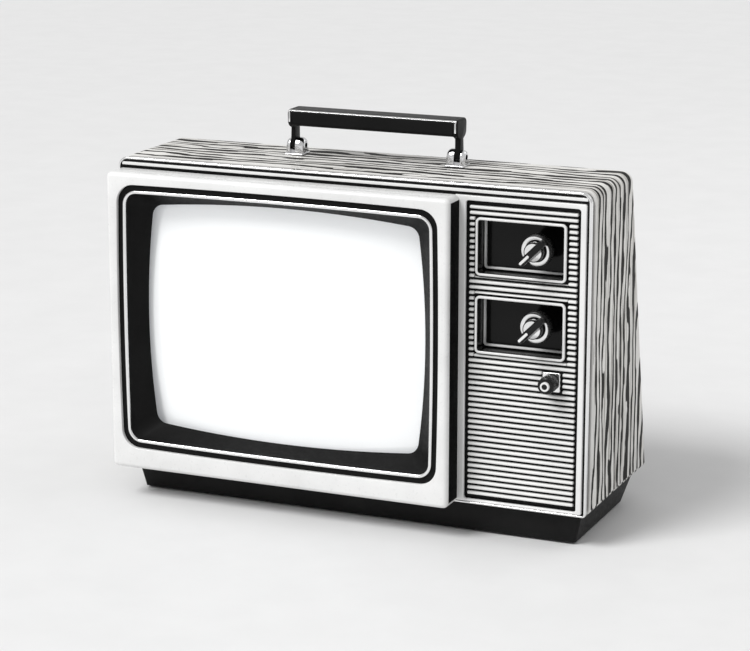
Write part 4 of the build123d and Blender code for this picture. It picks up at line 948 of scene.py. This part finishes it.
def make_grip_highlight_line():
    """Bright metal line along the front top edge, turned down over both ends; partly a trim strip and
    partly a painted highlight on the grip's edges.
    """
    proud, half_line, sunk, from_end = 0.25 * MM, 0.9 * MM, 0.3 * MM, 2.4 * MM
    left, right = arms_lo.x + from_end, arms_hi.x - from_end
    low_end, bend = grip_hi.z - 13.5 * MM, grip_hi.z - GRIP_CORNER
    edge_y = grip_lo.y + GRIP_CORNER * (1 - SLANT)
    edge_z = grip_hi.z - GRIP_CORNER * (1 - SLANT)
    flat = ((-half_line, -proud), (half_line, -proud), (half_line, sunk), (-half_line, sunk))
    across = [(edge_y + SLANT * (a + b), edge_z + SLANT * (a - b)) for a, b in flat]
    bar = [[Vector((x, y, z)) for y, z in across] for x in (left - half_line, right + half_line)]
    # Painted highlight: the bright line stands in for the glint along the grip's front top edge and its
    # ends.
    attach(soften(skin("grip_highlight_line", bar, [BRIGHT]), 0.2 * MM, 2), "handle_grip")
    for side, x in (("left", left), ("right", right)):
        foot = [Vector((x + a, grip_lo.y + b, low_end)) for a, b in flat]
        knee = [Vector((x + a, grip_lo.y + b, bend)) for a, b in flat]
        crown = [Vector((x + a, edge_y + SLANT * b, edge_z - SLANT * b)) for a, b in flat]
        tail = skin(f"grip_highlight_line_{side}", [foot, knee, crown], [BRIGHT])
        attach(soften(tail, 0.2 * MM, 2), "handle_arms")


def make_brackets():
    """Two brackets, each a foot with a domed ear on both sides of its arm."""
    lo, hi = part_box("handle_brackets")
    inner, outer, gap, near, foot_height = 9.4 * MM, 4.9 * MM, 0.4 * MM, 0.5 * MM, 2 * MM
    for name, side, (x0, x1) in zip(("left", "right"), (-1, 1), ARM_SIDES):
        in_edge = x1 + gap if side < 0 else x0 - gap
        out_edge = x0 - gap if side < 0 else x1 + gap
        for part, edge, thick, radius, round_far in (
            ("inner", in_edge, -side * inner, 8.6 * MM, 5.2 * MM),
            ("outer", out_edge, side * outer, 7.2 * MM, 3.6 * MM),
        ):
            dome = arc(PIVOT_Y, PIVOT_Z, radius, 0, math.pi, 24)
            dome += [(PIVOT_Y - radius, lo.z), (PIVOT_Y + radius, lo.z)]
            ends = (edge, edge + thick) if thick > 0 else (edge + thick, edge)
            rims = (near, round_far) if thick > 0 else (round_far, near)
            ear = prism(f"bracket_{name}_{part}", dome, *ends, [CHROME], *rims)
            attach(ear, "handle_brackets")
        foot = sorted((in_edge - side * inner, out_edge + side * outer))
        plate = ((foot[0], lo.y, lo.z), (foot[1], hi.y, lo.z + foot_height))
        base = join_boxes(f"bracket_{name}_foot", [plate], [CHROME])
        attach(soften(base, 0.7 * MM, 4), "handle_brackets")
    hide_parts("handle_brackets")


# ---------------------------------------------------------------- carried-over CAD pieces
def dress_cad_nodes():
    """Every CAD node that is still shown gets its finish and smooth faces with sharp creases."""
    for node, obj in frame["nodes"].items():
        if obj.hide_render:
            continue
        obj.data.materials.clear()
        obj.data.materials.append(SLOT_LOOKS[NODE_SLOTS[node]])
        obj.data.polygons.foreach_set("use_smooth", [True] * len(obj.data.polygons))
        obj.data.set_sharp_from_angle(angle=SHARP_CAD)


def make_floor_and_lights():
    """Plain pale floor, a soft sun and key light from the upper left front, and a rim light."""
    grey = ((0.74, 0.74, 0.74), (0.76, 0.76, 0.76))
    floor_look = surface("floor", *grey, (0.6, 0.7), 40, 0.00002, strength=0.02)
    mesh = bpy.data.meshes.new("floor")
    reach = 12.0
    corners = [(-reach, -reach, 0), (reach, -reach, 0), (reach, reach, 0), (-reach, reach, 0)]
    mesh.from_pydata(corners, [], [(0, 1, 2, 3)])
    mesh.materials.append(floor_look)
    floor = bpy.data.objects.new("floor", mesh)
    bpy.context.scene.collection.objects.link(floor)
    for name, spot, size, power in (
        ("key", (-1.3, -1.9, 1.9), 1.3, 9),
        ("rim", (1.6, 1.4, 1.8), 1.6, 6),
    ):
        data = bpy.data.lights.new(name, "AREA")
        data.size = size
        data.energy = power
        light = bpy.data.objects.new(name, data)
        light.location = spot
        light.rotation_mode = "QUATERNION"
        light.rotation_quaternion = (aim - Vector(spot)).to_track_quat("-Z", "Y")
        bpy.context.scene.collection.objects.link(light)
    data = bpy.data.lights.new("sun", "SUN")
    data.energy = 2.0
    data.angle = math.radians(25)
    sun = bpy.data.objects.new("sun", data)
    sun.rotation_mode = "QUATERNION"
    sun.rotation_quaternion = Vector((0.55, 0.9, -1.25)).to_track_quat("-Z", "Y")
    bpy.context.scene.collection.objects.link(sun)
    world = bpy.data.worlds.new("studio")
    world.use_nodes = True
    world.node_tree.nodes["Background"].inputs["Color"].default_value = (1, 1, 1, 1)
    world.node_tree.nodes["Background"].inputs["Strength"].default_value = 0.6
    bpy.context.scene.world = world


make_shell()
make_corner_blocks()
make_bead()
make_plinth()
make_bezel()
make_step_strip()
make_mask()
make_mask_ring()
make_tube()
make_control_frame()
make_grille()
for band_name in ("vhf", "uhf"):
    make_window(band_name)
    make_tuning_knobs(band_name)
make_volume()
make_grip()
make_arms()
make_grip_highlight_line()
make_brackets()
dress_cad_nodes()
make_floor_and_lights()

bpy.context.scene.view_settings.view_transform = "Standard"
